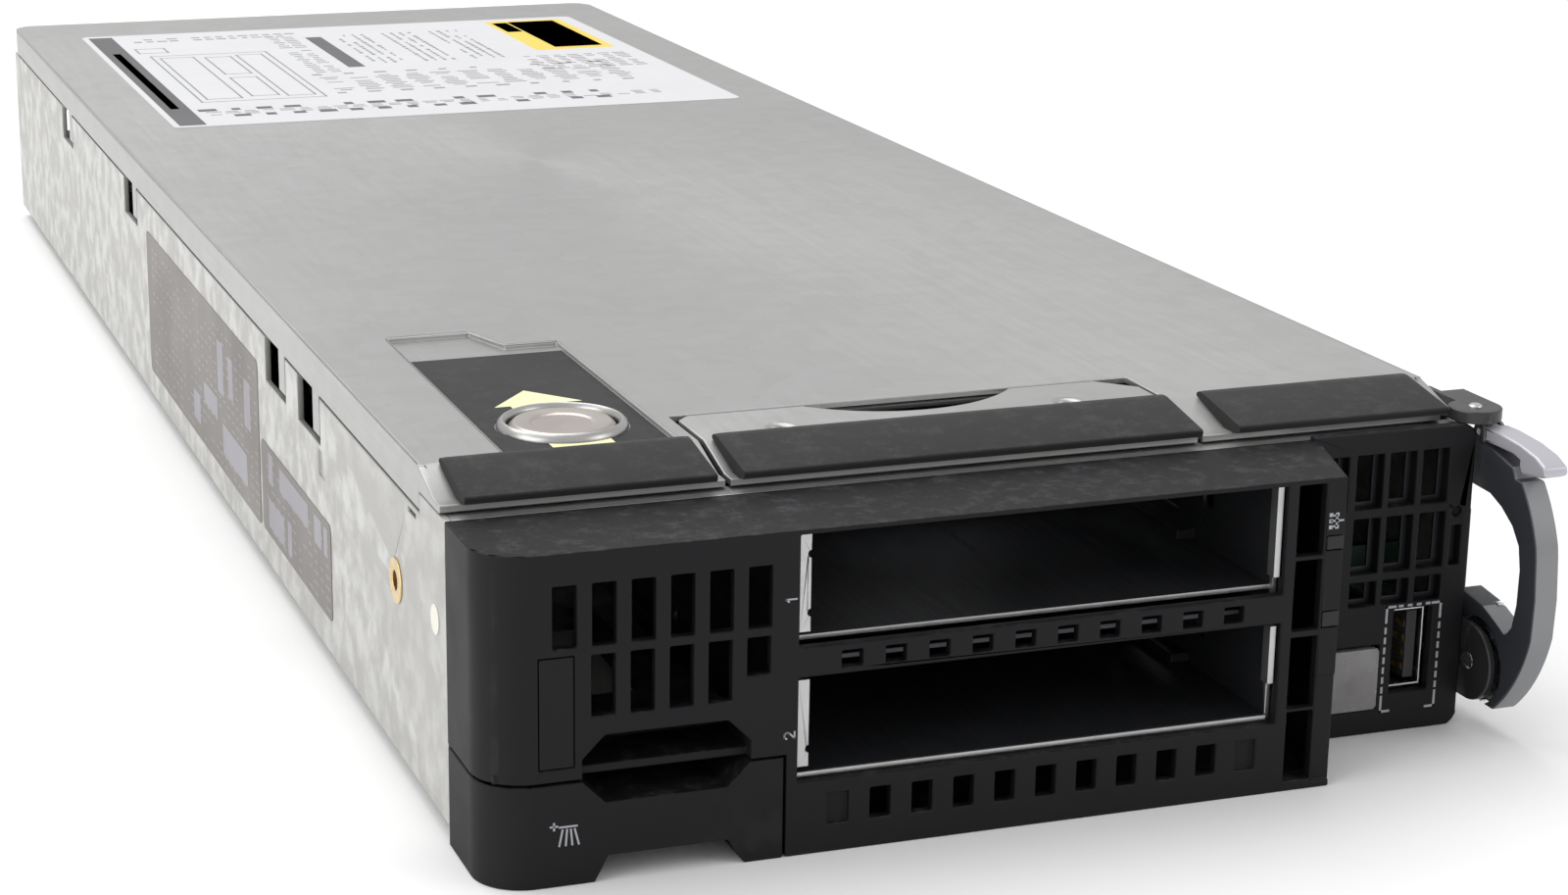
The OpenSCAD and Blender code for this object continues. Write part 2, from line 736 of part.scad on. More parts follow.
label_x = 15.5;
label_w = tray_w - 29.6;
label_y = overall_d * 0.649;
label_l = overall_d * 0.296;

module hood_label() {
    front_frame() color([0.93, 0.93, 0.94]) translate([label_x, label_y, hood_z]) linear_extrude(0.15) rounded_rect(label_w, label_l, 2);
}

// Foam gaskets lie on the sloped fronts and overhang the lip
gasket_z = lip_z + sheet_t + 0.05;
gasket_y = bezel_d + 1.6;

module gasket_profile() {
    slope = (hood_z - lip_z - sheet_t) / (ramp_end_y - lip_y - lip_d);
    rear = gasket_y + gasket_d;
    rest_z = gasket_z + (rear - lip_y - lip_d) * slope + 0.25;
    polygon([[gasket_y - 0.6, gasket_z + 0.2], [lip_y + lip_d - 0.3, gasket_z + 0.2], [rear, rest_z],
        [rear - 0.8, hood_z + gasket_rise], [rear - 2.4, hood_z + gasket_rise], [gasket_y - 1, gasket_z + 1.5]]);
}

module gasket(x, w) {
    front_frame() color([0.24, 0.22, 0.23]) slab_x(x, w) gasket_profile();
}

module gasket_left() {
    gasket(3.4, 40);
}

module gasket_centre() {
    gasket(cut_x + 2.2, cut_w - 3.4);
}

module gasket_right() {
    gasket(cut_x + cut_w + 5.4, keeper_x - keeper_r - 0.5 - cut_x - cut_w - 5.4);
}

// Release lever
module lever_bracket() {
    front_frame() color([0.11, 0.11, 0.12]) difference() {
        union() {
            slab_x(ear_x, ear_t) union() {
                translate([pivot_y, pivot_z]) circle(ear_r);
                translate([pivot_y, pivot_z - ear_r]) square([leg_y + 16 - pivot_y, 2 * ear_r]);
                translate([leg_y, tray_z]) square([8.5, keeper_z + keeper_t - tray_z]);
            }
            block(ear_x, leg_y, tray_z + 1, lever_t + ear_t, ear_t, 31);
            keeper();
        }
        rod_x(ear_x - 1, pivot_y, pivot_z, pin_r, ear_t + 2);
        translate([keeper_x, keeper_y, hood_z - 5]) cylinder(r = rivet_r, h = 8);
    }
}

keeper_x = ear_x + 1.1;
keeper_y = bezel_d + 0.5;
keeper_r = 4.4;
keeper_t = 2.1;
keeper_z = panel_h + 0.05;
rivet_r = 0.7;
leg_y = bezel_d + 6;

module keeper() {
    translate([0, 0, keeper_z]) linear_extrude(keeper_t) union() {
        translate([keeper_x, keeper_y]) circle(keeper_r);
        translate([ear_x, keeper_y]) square([keeper_x + keeper_r - ear_x, leg_y + 5 - keeper_y]);
    }
}

module keeper_rivet() {
    front_frame() color([0.75, 0.75, 0.75]) translate([keeper_x, keeper_y, keeper_z]) union() {
        cylinder(r = rivet_r, h = keeper_t);
        translate([0, 0, keeper_t]) cylinder(r1 = rivet_r + 0.5, r2 = rivet_r + 0.2, h = 0.35);
    }
}

module lever_pin() {
    front_frame() color([0.7, 0.7, 0.71]) union() {
        rod_x(ear_x, pivot_y, pivot_z, pin_r, ear_t + side_gap + lever_t - 0.4);
    }
}

lever_inner_top = 45.6;
grip_y = 0.5;
cam_pocket = cam_t + 0.2;

module lever_outline_2d() {
    intersection() {
        polygon([[grip_y + 4.6, 6.6], [grip_y + 1.7, 13], [grip_y + 0.3, 20], [grip_y, 27], [grip_y + 0.6, 34],
            [grip_y + 1.7, 40.5], [grip_y + 3.2, lever_inner_top], [8.7, lever_inner_top], [9.4, 47.3],
            [15.2, 48.7], [18.4, 49.2], [22.6, 49.2], [22.6, 12], [20.4, 6.8], [15.9, 5.4], [9, 5.2]]);
        translate([29, 27]) circle(29, $fn = 120);
    }
}

module lever_window_2d() {
    polygon([[24, 41.6], [15.6, 41.2], [12, 39.8], [8.6, 37.6], [6.4, 34.8], [5.6, 31], [5.7, 25], [6.6, 20.8],
        [8.2, 18.9], [11, 20.2], [15, 21.8], [24, 23]]);
}

module lever_grip() {
    front_frame() color([0.19, 0.2, 0.23]) difference() {
        union() {
            slab_x(lever_x, lever_t) difference() {
                lever_outline_2d();
                lever_window_2d();
            }
            for (x = [lever_x, lever_x + lever_t - knuckle_t]) slab_x(x, knuckle_t) release_ear_2d();
        }
        rod_x(lever_x - 1, pivot_y, pivot_z, pin_r + 0.1, lever_t + 2);
        slab_x(lever_x - 1, cam_pocket + 1) translate([pivot_y, pivot_z]) circle(7.4);
        slab_x(lever_x + lever_t - cam_pocket, 3) cam_2d(0.15);
        rod_x(lever_x - 1, release_y, release_z, release_pin_r, lever_t + 2);
    }
}

module cam_2d(gap) {
    translate([pivot_y, pivot_z]) {
        circle(4.6 + gap);
        rotate(-62) translate([0, -2.2 - gap]) square([8.6 + gap, 4.4 + 2 * gap]);
        rotate(80) translate([0, -2.6 - gap]) square([9.6 + gap, 5.2 + 2 * gap]);
    }
}

module lever_cam() {
    front_frame() color([0.62, 0.62, 0.63]) difference() {
        slab_x(lever_x + lever_t - cam_t - 0.1, cam_t) cam_2d(0);
        rod_x(lever_x - 1, pivot_y, pivot_z, pin_r + 0.1, lever_t + 2);
    }
}

module lever_spring() {
    front_frame() color([0.78, 0.78, 0.79]) translate([lever_x + 0.1, pivot_y, pivot_z]) rotate([0, 90, 0]) {
        coil(6.5, 0.7, 1, cam_pocket - 0.1);
    }
}

// Silver release piece, hinged in the lever's top
release_y = 20.2;
release_z = 50.6;
release_pin_r = 0.6;
knuckle_t = 1;
knuckle_r = 1.6;

module release_ear_2d() {
    translate([release_y, release_z]) circle(knuckle_r);
    translate([release_y - knuckle_r, release_z - 2]) square([2 * knuckle_r, 2]);
}

module release_2d() {
    polygon([[release_y - 0.2, release_z - 1.2], [release_y + 1, release_z], [release_y - 0.2, release_z + 1.3],
        [14.6, 52], [8.2, 51.6], [3.4, 50.7], [0.9, 49.6], [0.6, 48.2], [1.8, 47.6], [7.2, 46.9], [8, 48.2],
        [7.9, 49], [10, 49.5], [15, 49.5]]);
}

module lever_release() {
    front_frame() color([0.79, 0.78, 0.8]) difference() {
        slab_x(lever_x, lever_t) union() {
            release_2d();
            translate([release_y, release_z]) circle(knuckle_r - 0.4);
        }
        for (x = [lever_x - 1, lever_x + lever_t - knuckle_t - 0.15]) {
            rod_x(x, release_y, release_z, knuckle_r + 0.6, knuckle_t + 1.15);
        }
        rod_x(lever_x - 1, release_y, release_z, release_pin_r + 0.1, lever_t + 2);
    }
}

module release_pin() {
    front_frame() color([0.7, 0.7, 0.71]) rod_x(lever_x + 0.1, release_y, release_z, release_pin_r, lever_t - 0.2);
}

// Ports and switch
module power_button() {
    front_frame() color([0.42, 0.4, 0.42, 0.8]) union() {
        slab_y(panel_y - 0.6, 2) translate([power_x, power_z]) rounded_rect(power_w, power_h, 0.8);
        rod_y(power_x + power_w / 2, panel_y + 1, power_z + power_h / 2, 1.6, port_y - 7 - power_travel - 0.1 - panel_y - 1);
    }
}

port_y = bezel_d + 12;

module power_switch() {
    front_frame() color([0.16, 0.16, 0.17]) union() {
        block(power_x + 1.4, port_y - 6, power_z + 1.4, 8, 6, 8);
        rod_y(power_x + power_w / 2, port_y - 7, power_z + power_h / 2, 1.4, 1.2);
    }
}

usb_y = panel_y + 1.7;
usb_wall = 0.4;

module usb_shell() {
    front_frame() color([0.75, 0.75, 0.76]) difference() {
        block(usb_x + 0.4, usb_y, usb_z + 0.4, usb_w - 0.8, port_y - usb_y, usb_h - 0.8);
        block(usb_x + 0.4 + usb_wall, usb_y - 1, usb_z + 0.4 + usb_wall, usb_w - 0.8 - 2 * usb_wall, port_y - usb_y, usb_h - 0.8 - 2 * usb_wall);
    }
}

module usb_tongue() {
    front_frame() color([0.12, 0.12, 0.13]) union() {
        block(usb_x + 4.1, usb_y + 1, usb_z + 1.4, 1.9, port_y - usb_y - 2.6, usb_h - 2.8);
        block(usb_x + 0.4 + usb_wall, port_y - 2.6, usb_z + 0.4 + usb_wall, usb_w - 0.8 - 2 * usb_wall, 1.6, usb_h - 0.8 - 2 * usb_wall);
    }
}

module port_board() {
    front_frame() color(board_green) union() {
        block(power_x - 1, port_y, tray_floor, tray_w - power_x - 1, board_t, 24);
        block(power_x + 2, port_y + board_t, tray_floor + 1, 18, 4, 7);
    }
}

// Boards
module drive_backplane() {
    front_frame() color(board_green) difference() {
        block(bay_x - 3, backplane_y, cage_z - 1, bay_w + 6, board_t, 42);
        for (z = [bay_1_z + 10, bay_2_z + 10]) {
            for (x = [bay_x + 8 : 9 : bay_x + 30]) rod_y(x, backplane_y - 1, z, 2.6, 4);
        }
    }
}

module drive_connectors() {
    front_frame() color([0.1, 0.1, 0.11]) for (z = [bay_1_z + 4, bay_2_z + 4]) {
        difference() {
            block(bay_x + bay_w - 52, backplane_y - 7, z, 42, 7, 7);
            block(bay_x + bay_w - 50, backplane_y - 8, z + 2.4, 38, 6, 2.4);
        }
    }
}

module system_board() {
    front_frame() color(board_green) difference() {
        block(board_x, board_y, board_z, board_w, board_l, board_t);
        for (p = standoff_places) translate([p[0], p[1], board_z - 1]) cylinder(r = 1.6, h = board_t + 2);
    }
}

standoff_r = 2.4;
standoff_places = concat([[tray_w / 2, sink_ys[0] + sink_l + 18]],
    [for (x = [board_x + 2.6, tray_w / 2, tray_w - board_x - 2.6])
        for (y = [board_y + 2.6, mezz_y + 1.2, rear_y - 4]) [x, y]]);

module board_standoffs() {
    front_frame() color([0.72, 0.72, 0.7]) for (p = standoff_places) {
        translate([p[0], p[1], tray_floor]) difference() {
            cylinder(r = standoff_r, h = standoff_h);
            translate([0, 0, -1]) cylinder(r = 1.3, h = standoff_h + 2);
        }
    }
}

module board_screws() {
    front_frame() color([0.8, 0.8, 0.8]) for (p = standoff_places) {
        translate([p[0], p[1], board_top]) difference() {
            cylinder(r = 2.3, h = 1.2);
            translate([0, 0, 0.5]) cylinder(r = 0.9, h = 1, $fn = 6);
        }
        translate([p[0], p[1], tray_floor + 0.6]) cylinder(r = 1.2, h = board_top - tray_floor - 0.6 + eps);
    }
}

module processor_sockets() {
    front_frame() color([0.78, 0.78, 0.76]) for (y = sink_ys) {
        block(tray_w / 2 - 28, y + sink_l / 2 - 38, board_top, 56, 76, socket_t);
    }
}

module heatsink(y) {
    fin_pitch = (sink_w - 1) / (fin_count - 1);
    front_frame() color([0.78, 0.78, 0.79]) union() {
        block(sink_x, y, sink_z, sink_w, sink_l, 4);
        for (i = [0 : fin_count - 1]) {
            block(sink_x + i * fin_pitch, y + 8, sink_z + 4 - eps, 0.5, sink_l - 16, sink_h - 4);
        }
    }
}

module heatsink_front() {
    heatsink(sink_ys[0]);
}

module heatsink_rear() {
    heatsink(sink_ys[1]);
}

module heatsink_screws() {
    front_frame() color([0.7, 0.7, 0.7]) for (y = sink_ys) {
        for (x = [sink_x + 8, sink_x + sink_w - 8]) {
            for (d = [4, sink_l - 4]) translate([x, y + d, sink_z + 4]) difference() {
                cylinder(r = 2.8, h = 6);
                translate([0, 0, 4]) cylinder(r = 1.3, h = 3, $fn = 6);
            }
        }
    }
}

module memory_bank() {
    for (y = dimm_ys) {
        for (x = [dimm_left_x, dimm_right_x]) {
            for (i = [0 : 3]) translate([x + i * dimm_pitch, y, board_top]) children();
        }
    }
}

module memory_sockets() {
    front_frame() color([0.13, 0.13, 0.14]) memory_bank() difference() {
        union() {
            cube([6.5, dimm_l, 6]);
            translate([0.8, -1.4, 0]) cube([4.9, 4, 14]);
            translate([0.8, dimm_l - 2.6, 0]) cube([4.9, 4, 14]);
        }
        translate([2.35, 1, 2.2]) cube([1.8, dimm_l - 2, 14]);
    }
}

module memory_modules() {
    front_frame() color([0.12, 0.36, 0.2]) memory_bank() difference() {
        union() {
            translate([2.6, 1.2, 2.5]) cube([1.3, dimm_l - 2.4, dimm_h - 1]);
            for (i = [0 : 7]) translate([1.5, 6 + i * (dimm_l - 18) / 7, 14]) cube([3.5, 9, 11]);
        }
        translate([2, dimm_l * 0.47, 0]) cube([3, 1.5, 4.5]);
    }
}

// Clear baffle that closes the air path between the memory banks
module air_baffle() {
    front_frame() color([0.3, 0.3, 0.32]) for (side = corners) {
        translate([side * tray_w, 0, 0]) mirror([side, 0, 0]) union() {
            block(sink_x - 3.4, sink_ys[0], board_top, 1.6, 2 * dimm_l - 10, 36);
            block(sink_x - 3.4, sink_ys[0], board_top, 3, 6, 3);
        }
    }
}

module mezzanine_sockets() {
    front_frame() color([0.12, 0.12, 0.13]) for (x = mezz_xs) {
        for (share = [0.17, 0.75]) {
            block(x + 12, mezz_y + share * mezz_l, board_top, 50, 0.11 * mezz_l, mezz_z - board_top);
        }
    }
}

module mezzanine_card(x) {
    chip_y = mezz_y + 0.39 * mezz_l;
    chip_l = 0.42 * mezz_l;
    block(x, mezz_y, mezz_z, mezz_w, mezz_l, board_t);
    block(x + 22, chip_y, mezz_z + board_t - eps, 30, chip_l, 2.4);
    for (i = [0 : 11]) block(x + 22 + i * 2.66, chip_y, mezz_z + board_t + 2.4 - 2 * eps, 0.74, chip_l, 7);
}

module mezzanine_cards() {
    front_frame() color(board_green) for (x = mezz_xs) mezzanine_card(x);
}

module storage_controller() {
    x = bay_x + bay_w + cage_t + 5;
    w = tray_w - 8 - x;
    y = bay_d - 48;
    front_frame() color(board_green) union() {
        block(x, y, tray_floor + 12, w, 58, board_t);
        block(x + w * 0.2, y + 16, tray_floor + 12 + board_t, w * 0.6, 20, 5);
        for (post_x = [x + 2, x + w - 6]) {
            for (post_y = [y + 2, y + 50]) block(post_x, post_y, tray_floor, 4, 6, 12);
        }
    }
}

module coin_battery() {
    front_frame() color([0.8, 0.8, 0.78]) translate([sink_x + 20, sink_ys[0] + sink_l + 15, board_top]) union() {
        translate([-11.5, -11.5, 0]) cube([23, 23, 1.6]);
        translate([0, 0, 1.6]) cylinder(r = 10, h = 3.2);
    }
}

// Rear connectors that meet the enclosure
signal_w = 44;

module signal_connectors() {
    front_frame() color([0.85, 0.84, 0.8]) for (x = [22, tray_w - 22 - signal_w]) {
        difference() {
            block(x, rear_y, board_top, signal_w, 24, 26);
            for (i = [0 : 9]) {
                for (k = [0 : 5]) block(x + 2.6 + i * 4, rear_y + 12, board_top + 2.4 + k * 3.8, 2.6, 13, 2.4);
            }
        }
    }
}

module power_connector() {
    front_frame() color([0.1, 0.1, 0.1]) difference() {
        block(tray_w / 2 - 16, rear_y, board_top, 32, 24, 18);
        for (i = [0 : 3]) block(tray_w / 2 - 13.4 + i * 7, rear_y + 8, board_top + 3, 4.8, 17, 12);
    }
}

module guide_sockets() {
    front_frame() color([0.75, 0.75, 0.75]) for (x = [12, tray_w - 12]) {
        translate([x, rear_y + 10, board_top]) difference() {
            translate([-5, -10, 0]) cube([10, 22, 16]);
            rod_y(0, -11, 9, 2.6, 40);
        }
    }
}

chassis_tray();
side_wall_left();
side_wall_right();
front_rail();
front_screen();
drive_cage();
centre_plate();
front_bezel();
badge_plate();
light_windows();
pull_tab();
tab_card();
tab_guide();
hood();
latch_ring();
latch_button();
latch_spring();
latch_housing();
latch_plate();
hood_label();
side_label_front();
side_label_rear();
side_dot();
side_insert();
gasket_left();
gasket_centre();
gasket_right();
lever_bracket();
lever_pin();
lever_grip();
lever_cam();
lever_spring();
lever_release();
release_pin();
keeper_rivet();
power_button();
usb_shell();
usb_tongue();
port_board();
power_switch();
drive_backplane();
drive_connectors();
system_board();
board_standoffs();
board_screws();
processor_sockets();
heatsink_front();
heatsink_rear();
heatsink_screws();
memory_sockets();
memory_modules();
air_baffle();
mezzanine_sockets();
mezzanine_cards();
storage_controller();
coin_battery();
signal_connectors();
power_connector();
guide_sockets();
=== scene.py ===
import json
import math

import bmesh
import bpy
from mathutils import Matrix, Vector

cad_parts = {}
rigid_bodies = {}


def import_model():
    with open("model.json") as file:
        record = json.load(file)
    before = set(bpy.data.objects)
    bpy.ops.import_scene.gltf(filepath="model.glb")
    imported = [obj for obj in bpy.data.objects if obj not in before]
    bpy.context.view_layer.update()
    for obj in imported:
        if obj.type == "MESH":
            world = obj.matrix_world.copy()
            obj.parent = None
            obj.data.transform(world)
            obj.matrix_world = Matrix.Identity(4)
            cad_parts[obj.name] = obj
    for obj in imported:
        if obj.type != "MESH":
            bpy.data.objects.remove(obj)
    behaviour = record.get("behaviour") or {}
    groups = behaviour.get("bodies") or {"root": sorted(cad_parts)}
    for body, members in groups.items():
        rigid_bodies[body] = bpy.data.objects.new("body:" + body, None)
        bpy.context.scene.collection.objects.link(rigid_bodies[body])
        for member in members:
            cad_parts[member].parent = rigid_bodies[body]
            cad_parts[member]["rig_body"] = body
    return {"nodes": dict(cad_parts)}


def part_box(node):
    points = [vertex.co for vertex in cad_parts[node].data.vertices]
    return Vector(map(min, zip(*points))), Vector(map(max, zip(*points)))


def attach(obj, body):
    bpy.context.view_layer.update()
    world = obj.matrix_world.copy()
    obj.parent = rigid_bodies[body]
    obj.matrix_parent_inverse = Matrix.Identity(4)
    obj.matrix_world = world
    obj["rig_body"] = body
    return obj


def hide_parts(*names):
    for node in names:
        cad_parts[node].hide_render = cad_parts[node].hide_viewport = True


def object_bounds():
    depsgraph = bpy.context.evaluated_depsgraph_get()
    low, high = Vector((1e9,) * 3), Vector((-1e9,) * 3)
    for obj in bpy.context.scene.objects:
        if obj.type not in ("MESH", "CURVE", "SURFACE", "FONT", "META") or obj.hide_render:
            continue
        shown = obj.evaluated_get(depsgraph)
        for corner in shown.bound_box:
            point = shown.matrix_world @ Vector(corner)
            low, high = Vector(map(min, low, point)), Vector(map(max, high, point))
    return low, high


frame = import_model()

cadLow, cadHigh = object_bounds()
nodes = frame["nodes"]
mm = 0.001
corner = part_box("front_bezel")[0]  # lower left corner of the bezel's face


def place(x, y, z):
    # millimetres from the bezel's corner, as a point in the frame
    return Vector((corner.x + x * mm, corner.y + y * mm, corner.z + z * mm))


def local(point):
    return (point - corner) / mm


def span(nodeName):
    # the node's low and high corner in millimetres
    return tuple(local(point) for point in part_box(nodeName))


def middle(low, high):
    return (low + high) / 2


# the values between which each mask rises from 0 to 1
masks = {
    "blotch": (0.3, 0.7), "streak": (0.25, 0.75), "wornEdge": (0.53, 0.62), "wornPatch": (0.42, 0.62),
    "upward": (0.3, 1.0), "speck": (0.5, 0.8), "scuffAlong": (0.66, 0.72), "scuffAcross": (0.68, 0.74),
    "thread": (-1.0, 1.0), "pad": (0.16, 0.1),
}
# detail and roughness of each noise
noises = {
    "grain": (2.0, 0.55), "blotch": (4.0, 0.55), "streak": (5.0, 0.7), "patch": (5.0, 0.55),
    "speck": (8.0, 0.8), "scuff": (6.0, 0.75), "fuzz": (3.0, 0.55),
}
stretches = {
    "even": (1, 1, 1), "rolled": (9, 0.35, 9), "scuffAlong": (1, 14, 1), "scuffAcross": (16, 1, 16),
}
weaveLook = {"fuzzScale": 2600.0, "threadShare": 0.7, "fuzzShare": 0.6}
traceLook = {"line": 0.03, "padScale": 210.0}


def newGroup(name, inputs, outputs):
    group = bpy.data.node_groups.new(name, "ShaderNodeTree")
    for label, value in inputs.items():
        socket = group.interface.new_socket(name=label, in_out="INPUT", socket_type="NodeSocketFloat")
        socket.default_value = value
    for label in outputs:
        group.interface.new_socket(name=label, in_out="OUTPUT", socket_type="NodeSocketFloat")
    return group, group.nodes.new("NodeGroupInput"), group.nodes.new("NodeGroupOutput")


def mathNode(tree, operation, first, second=None, clamp=False):
    node = tree.nodes.new("ShaderNodeMath")
    node.operation = operation
    node.use_clamp = clamp
    for index, value in enumerate((first, second)):
        if value is None:
            continue
        if isinstance(value, (int, float)):
            node.inputs[index].default_value = value
        else:
            tree.links.new(value, node.inputs[index])
    return node.outputs[0]


def coordsNode(tree, stretch="even"):
    coords = tree.nodes.new("ShaderNodeTexCoord")
    mapping = tree.nodes.new("ShaderNodeMapping")
    mapping.inputs["Scale"].default_value = stretches[stretch]
    tree.links.new(coords.outputs["Object"], mapping.inputs["Vector"])
    return mapping.outputs["Vector"]


def noiseNode(tree, kind, scale, stretch="even"):
    node = tree.nodes.new("ShaderNodeTexNoise")
    tree.links.new(coordsNode(tree, stretch), node.inputs["Vector"])
    node.inputs["Detail"].default_value, node.inputs["Roughness"].default_value = noises[kind]
    if isinstance(scale, (int, float)):
        node.inputs["Scale"].default_value = scale
    else:
        tree.links.new(scale, node.inputs["Scale"])
    return node.outputs["Fac"]


def maskNode(tree, kind, value):
    node = tree.nodes.new("ShaderNodeMapRange")
    node.inputs["From Min"].default_value, node.inputs["From Max"].default_value = masks[kind]
    tree.links.new(value, node.inputs["Value"])
    return node.outputs["Result"]


def axesNode(tree, vector):
    node = tree.nodes.new("ShaderNodeSeparateXYZ")
    tree.links.new(vector, node.inputs["Vector"])
    return node.outputs


def buildGrain():
    group, start, end = newGroup("fineGrain", {"Scale": 900.0, "Blotch Scale": 40.0}, ("Height", "Blotch"))
    grain = noiseNode(group, "grain", start.outputs["Scale"])
    blotch = noiseNode(group, "blotch", start.outputs["Blotch Scale"])
    group.links.new(grain, end.inputs["Height"])
    group.links.new(maskNode(group, "blotch", blotch), end.inputs["Blotch"])
    return group


def buildStreaks():
    inputs = {"Scale": 60.0, "Spangle Scale": 120.0}
    group, start, end = newGroup("rolledStreaks", inputs, ("Streak", "Spangle"))
    streak = noiseNode(group, "streak", start.outputs["Scale"], "rolled")
    cells = group.nodes.new("ShaderNodeTexVoronoi")
    group.links.new(coordsNode(group), cells.inputs["Vector"])
    group.links.new(start.outputs["Spangle Scale"], cells.inputs["Scale"])
    single = group.nodes.new("ShaderNodeSeparateColor")
    group.links.new(cells.outputs["Color"], single.inputs["Color"])
    group.links.new(maskNode(group, "streak", streak), end.inputs["Streak"])
    group.links.new(single.outputs["Red"], end.inputs["Spangle"])
    return group


def buildMask(name, amount, scale, pattern):
    # a group whose one mask is its pattern times the amount
    group, start, end = newGroup(name, {"Amount": amount, "Scale": scale}, ("Mask",))
    value = pattern(group, start.outputs["Scale"])
    group.links.new(mathNode(group, "MULTIPLY", value, start.outputs["Amount"], True), end.inputs["Mask"])
    return group


def wornEdges(group, scale):
    geometry = group.nodes.new("ShaderNodeNewGeometry")
    edges = maskNode(group, "wornEdge", geometry.outputs["Pointiness"])
    patches = maskNode(group, "wornPatch", noiseNode(group, "patch", scale))
    return mathNode(group, "MULTIPLY", edges, patches)


# specks on upward faces: settled dust, and on the bezel also painted light that makes its top lighter
def settledDustAndTopLight(group, scale):
    geometry = group.nodes.new("ShaderNodeNewGeometry")
    upward = maskNode(group, "upward", axesNode(group, geometry.outputs["Normal"])["Z"])
    specks = maskNode(group, "speck", noiseNode(group, "speck", scale))
    return mathNode(group, "MULTIPLY", upward, specks)


def handlingScuffs(group, scale):
    along = maskNode(group, "scuffAlong", noiseNode(group, "scuff", scale, "scuffAlong"))
    across = maskNode(group, "scuffAcross", noiseNode(group, "scuff", scale, "scuffAcross"))
    return mathNode(group, "MAXIMUM", along, across)


def buildWeave():
    group, start, end = newGroup("clothWeave", {"Thread Scale": 1500.0}, ("Height", "Thread"))
    axes = axesNode(group, coordsNode(group))
    turns = mathNode(group, "MULTIPLY", start.outputs["Thread Scale"], math.tau)
    depth = mathNode(group, "ADD", axes["Y"], axes["Z"])
    across = mathNode(group, "SINE", mathNode(group, "MULTIPLY", axes["X"], turns))
    along = mathNode(group, "SINE", mathNode(group, "MULTIPLY", depth, turns))
    thread = maskNode(group, "thread", mathNode(group, "MULTIPLY", across, along))
    fuzz = noiseNode(group, "fuzz", weaveLook["fuzzScale"])
    woven = mathNode(group, "MULTIPLY", thread, weaveLook["threadShare"])
    fuzzy = mathNode(group, "MULTIPLY", fuzz, weaveLook["fuzzShare"])
    group.links.new(mathNode(group, "ADD", woven, fuzzy), end.inputs["Height"])
    group.links.new(thread, end.inputs["Thread"])
    return group


def buildTraces():
    group, start, end = newGroup("boardTraces", {"Scale": 55.0}, ("Trace", "Pad"))
    brick = group.nodes.new("ShaderNodeTexBrick")
    group.links.new(coordsNode(group), brick.inputs["Vector"])
    group.links.new(start.outputs["Scale"], brick.inputs["Scale"])
    brick.inputs["Mortar Size"].default_value = traceLook["line"]
    cells = group.nodes.new("ShaderNodeTexVoronoi")
    cells.distance = "CHEBYCHEV"
    group.links.new(coordsNode(group), cells.inputs["Vector"])
    cells.inputs["Scale"].default_value = traceLook["padScale"]
    group.links.new(brick.outputs["Fac"], end.inputs["Trace"])
    group.links.new(maskNode(group, "pad", cells.outputs["Distance"]), end.inputs["Pad"])
    return group


groups = {
    "grain": buildGrain(),
    "streaks": buildStreaks(),
    "wear": buildMask("edgeWear", 0.5, 180.0, wornEdges),
    "dustAndTopLight": buildMask("settledDustAndTopLight", 0.3, 260.0, settledDustAndTopLight),
    "scuffs": buildMask("handlingScuffs", 0.3, 24.0, handlingScuffs),
    "weave": buildWeave(),
    "traces": buildTraces(),
}
print("shared groups built:", len(groups))

# values that a look has unless it gives its own
commonLook = {
    "metallic": 0.0, "specular": 0.5, "grainScale": 1200.0, "grainDepth": 0.3, "blotchScale": 40.0,
    "spangleScale": 130.0, "spangle": 0.3, "streakDepth": 0.3, "threadShare": 0.5, "traceShare": 0.55,
    "wearScale": 180.0, "scuffScale": 24.0, "dustAndTopLightScale": 260.0, "dustAndTopLightColour": (0.55, 0.54, 0.52),
    "bumpDistance": 0.00004, "bumpStrength": 0.6,
}
# marks laid over the base colour, in this order
overlays = {
    "wear": ("wearColour", "wearScale"), "scuffs": ("scuffColour", "scuffScale"),
    "dustAndTopLight": ("dustAndTopLightColour", "dustAndTopLightScale"),
}
shaderInputs = {
    "metallic": "Metallic", "specular": "Specular IOR Level", "coat": "Coat Weight",
    "coatRoughness": "Coat Roughness", "sheen": "Sheen Weight", "sheenRoughness": "Sheen Roughness",
    "transmission": "Transmission Weight", "anisotropic": "Anisotropic",
}
mixSockets = {"first": 6, "second": 7, "result": 2}  # the mix node's colour sockets


def mixColours(tree, factor, first, second):
    node = tree.nodes.new("ShaderNodeMix")
    node.data_type = "RGBA"
    tree.links.new(factor, node.inputs["Factor"])
    for index, value in ((mixSockets["first"], first), (mixSockets["second"], second)):
        if isinstance(value, tuple):
            node.inputs[index].default_value = (*value, 1.0)
        else:
            tree.links.new(value, node.inputs[index])
    return node.outputs[mixSockets["result"]]


def addGroup(tree, name, **values):
    node = tree.nodes.new("ShaderNodeGroup")
    node.node_tree = groups[name]
    for label, value in values.items():
        node.inputs[label.replace("_", " ")].default_value = value
    return node.outputs


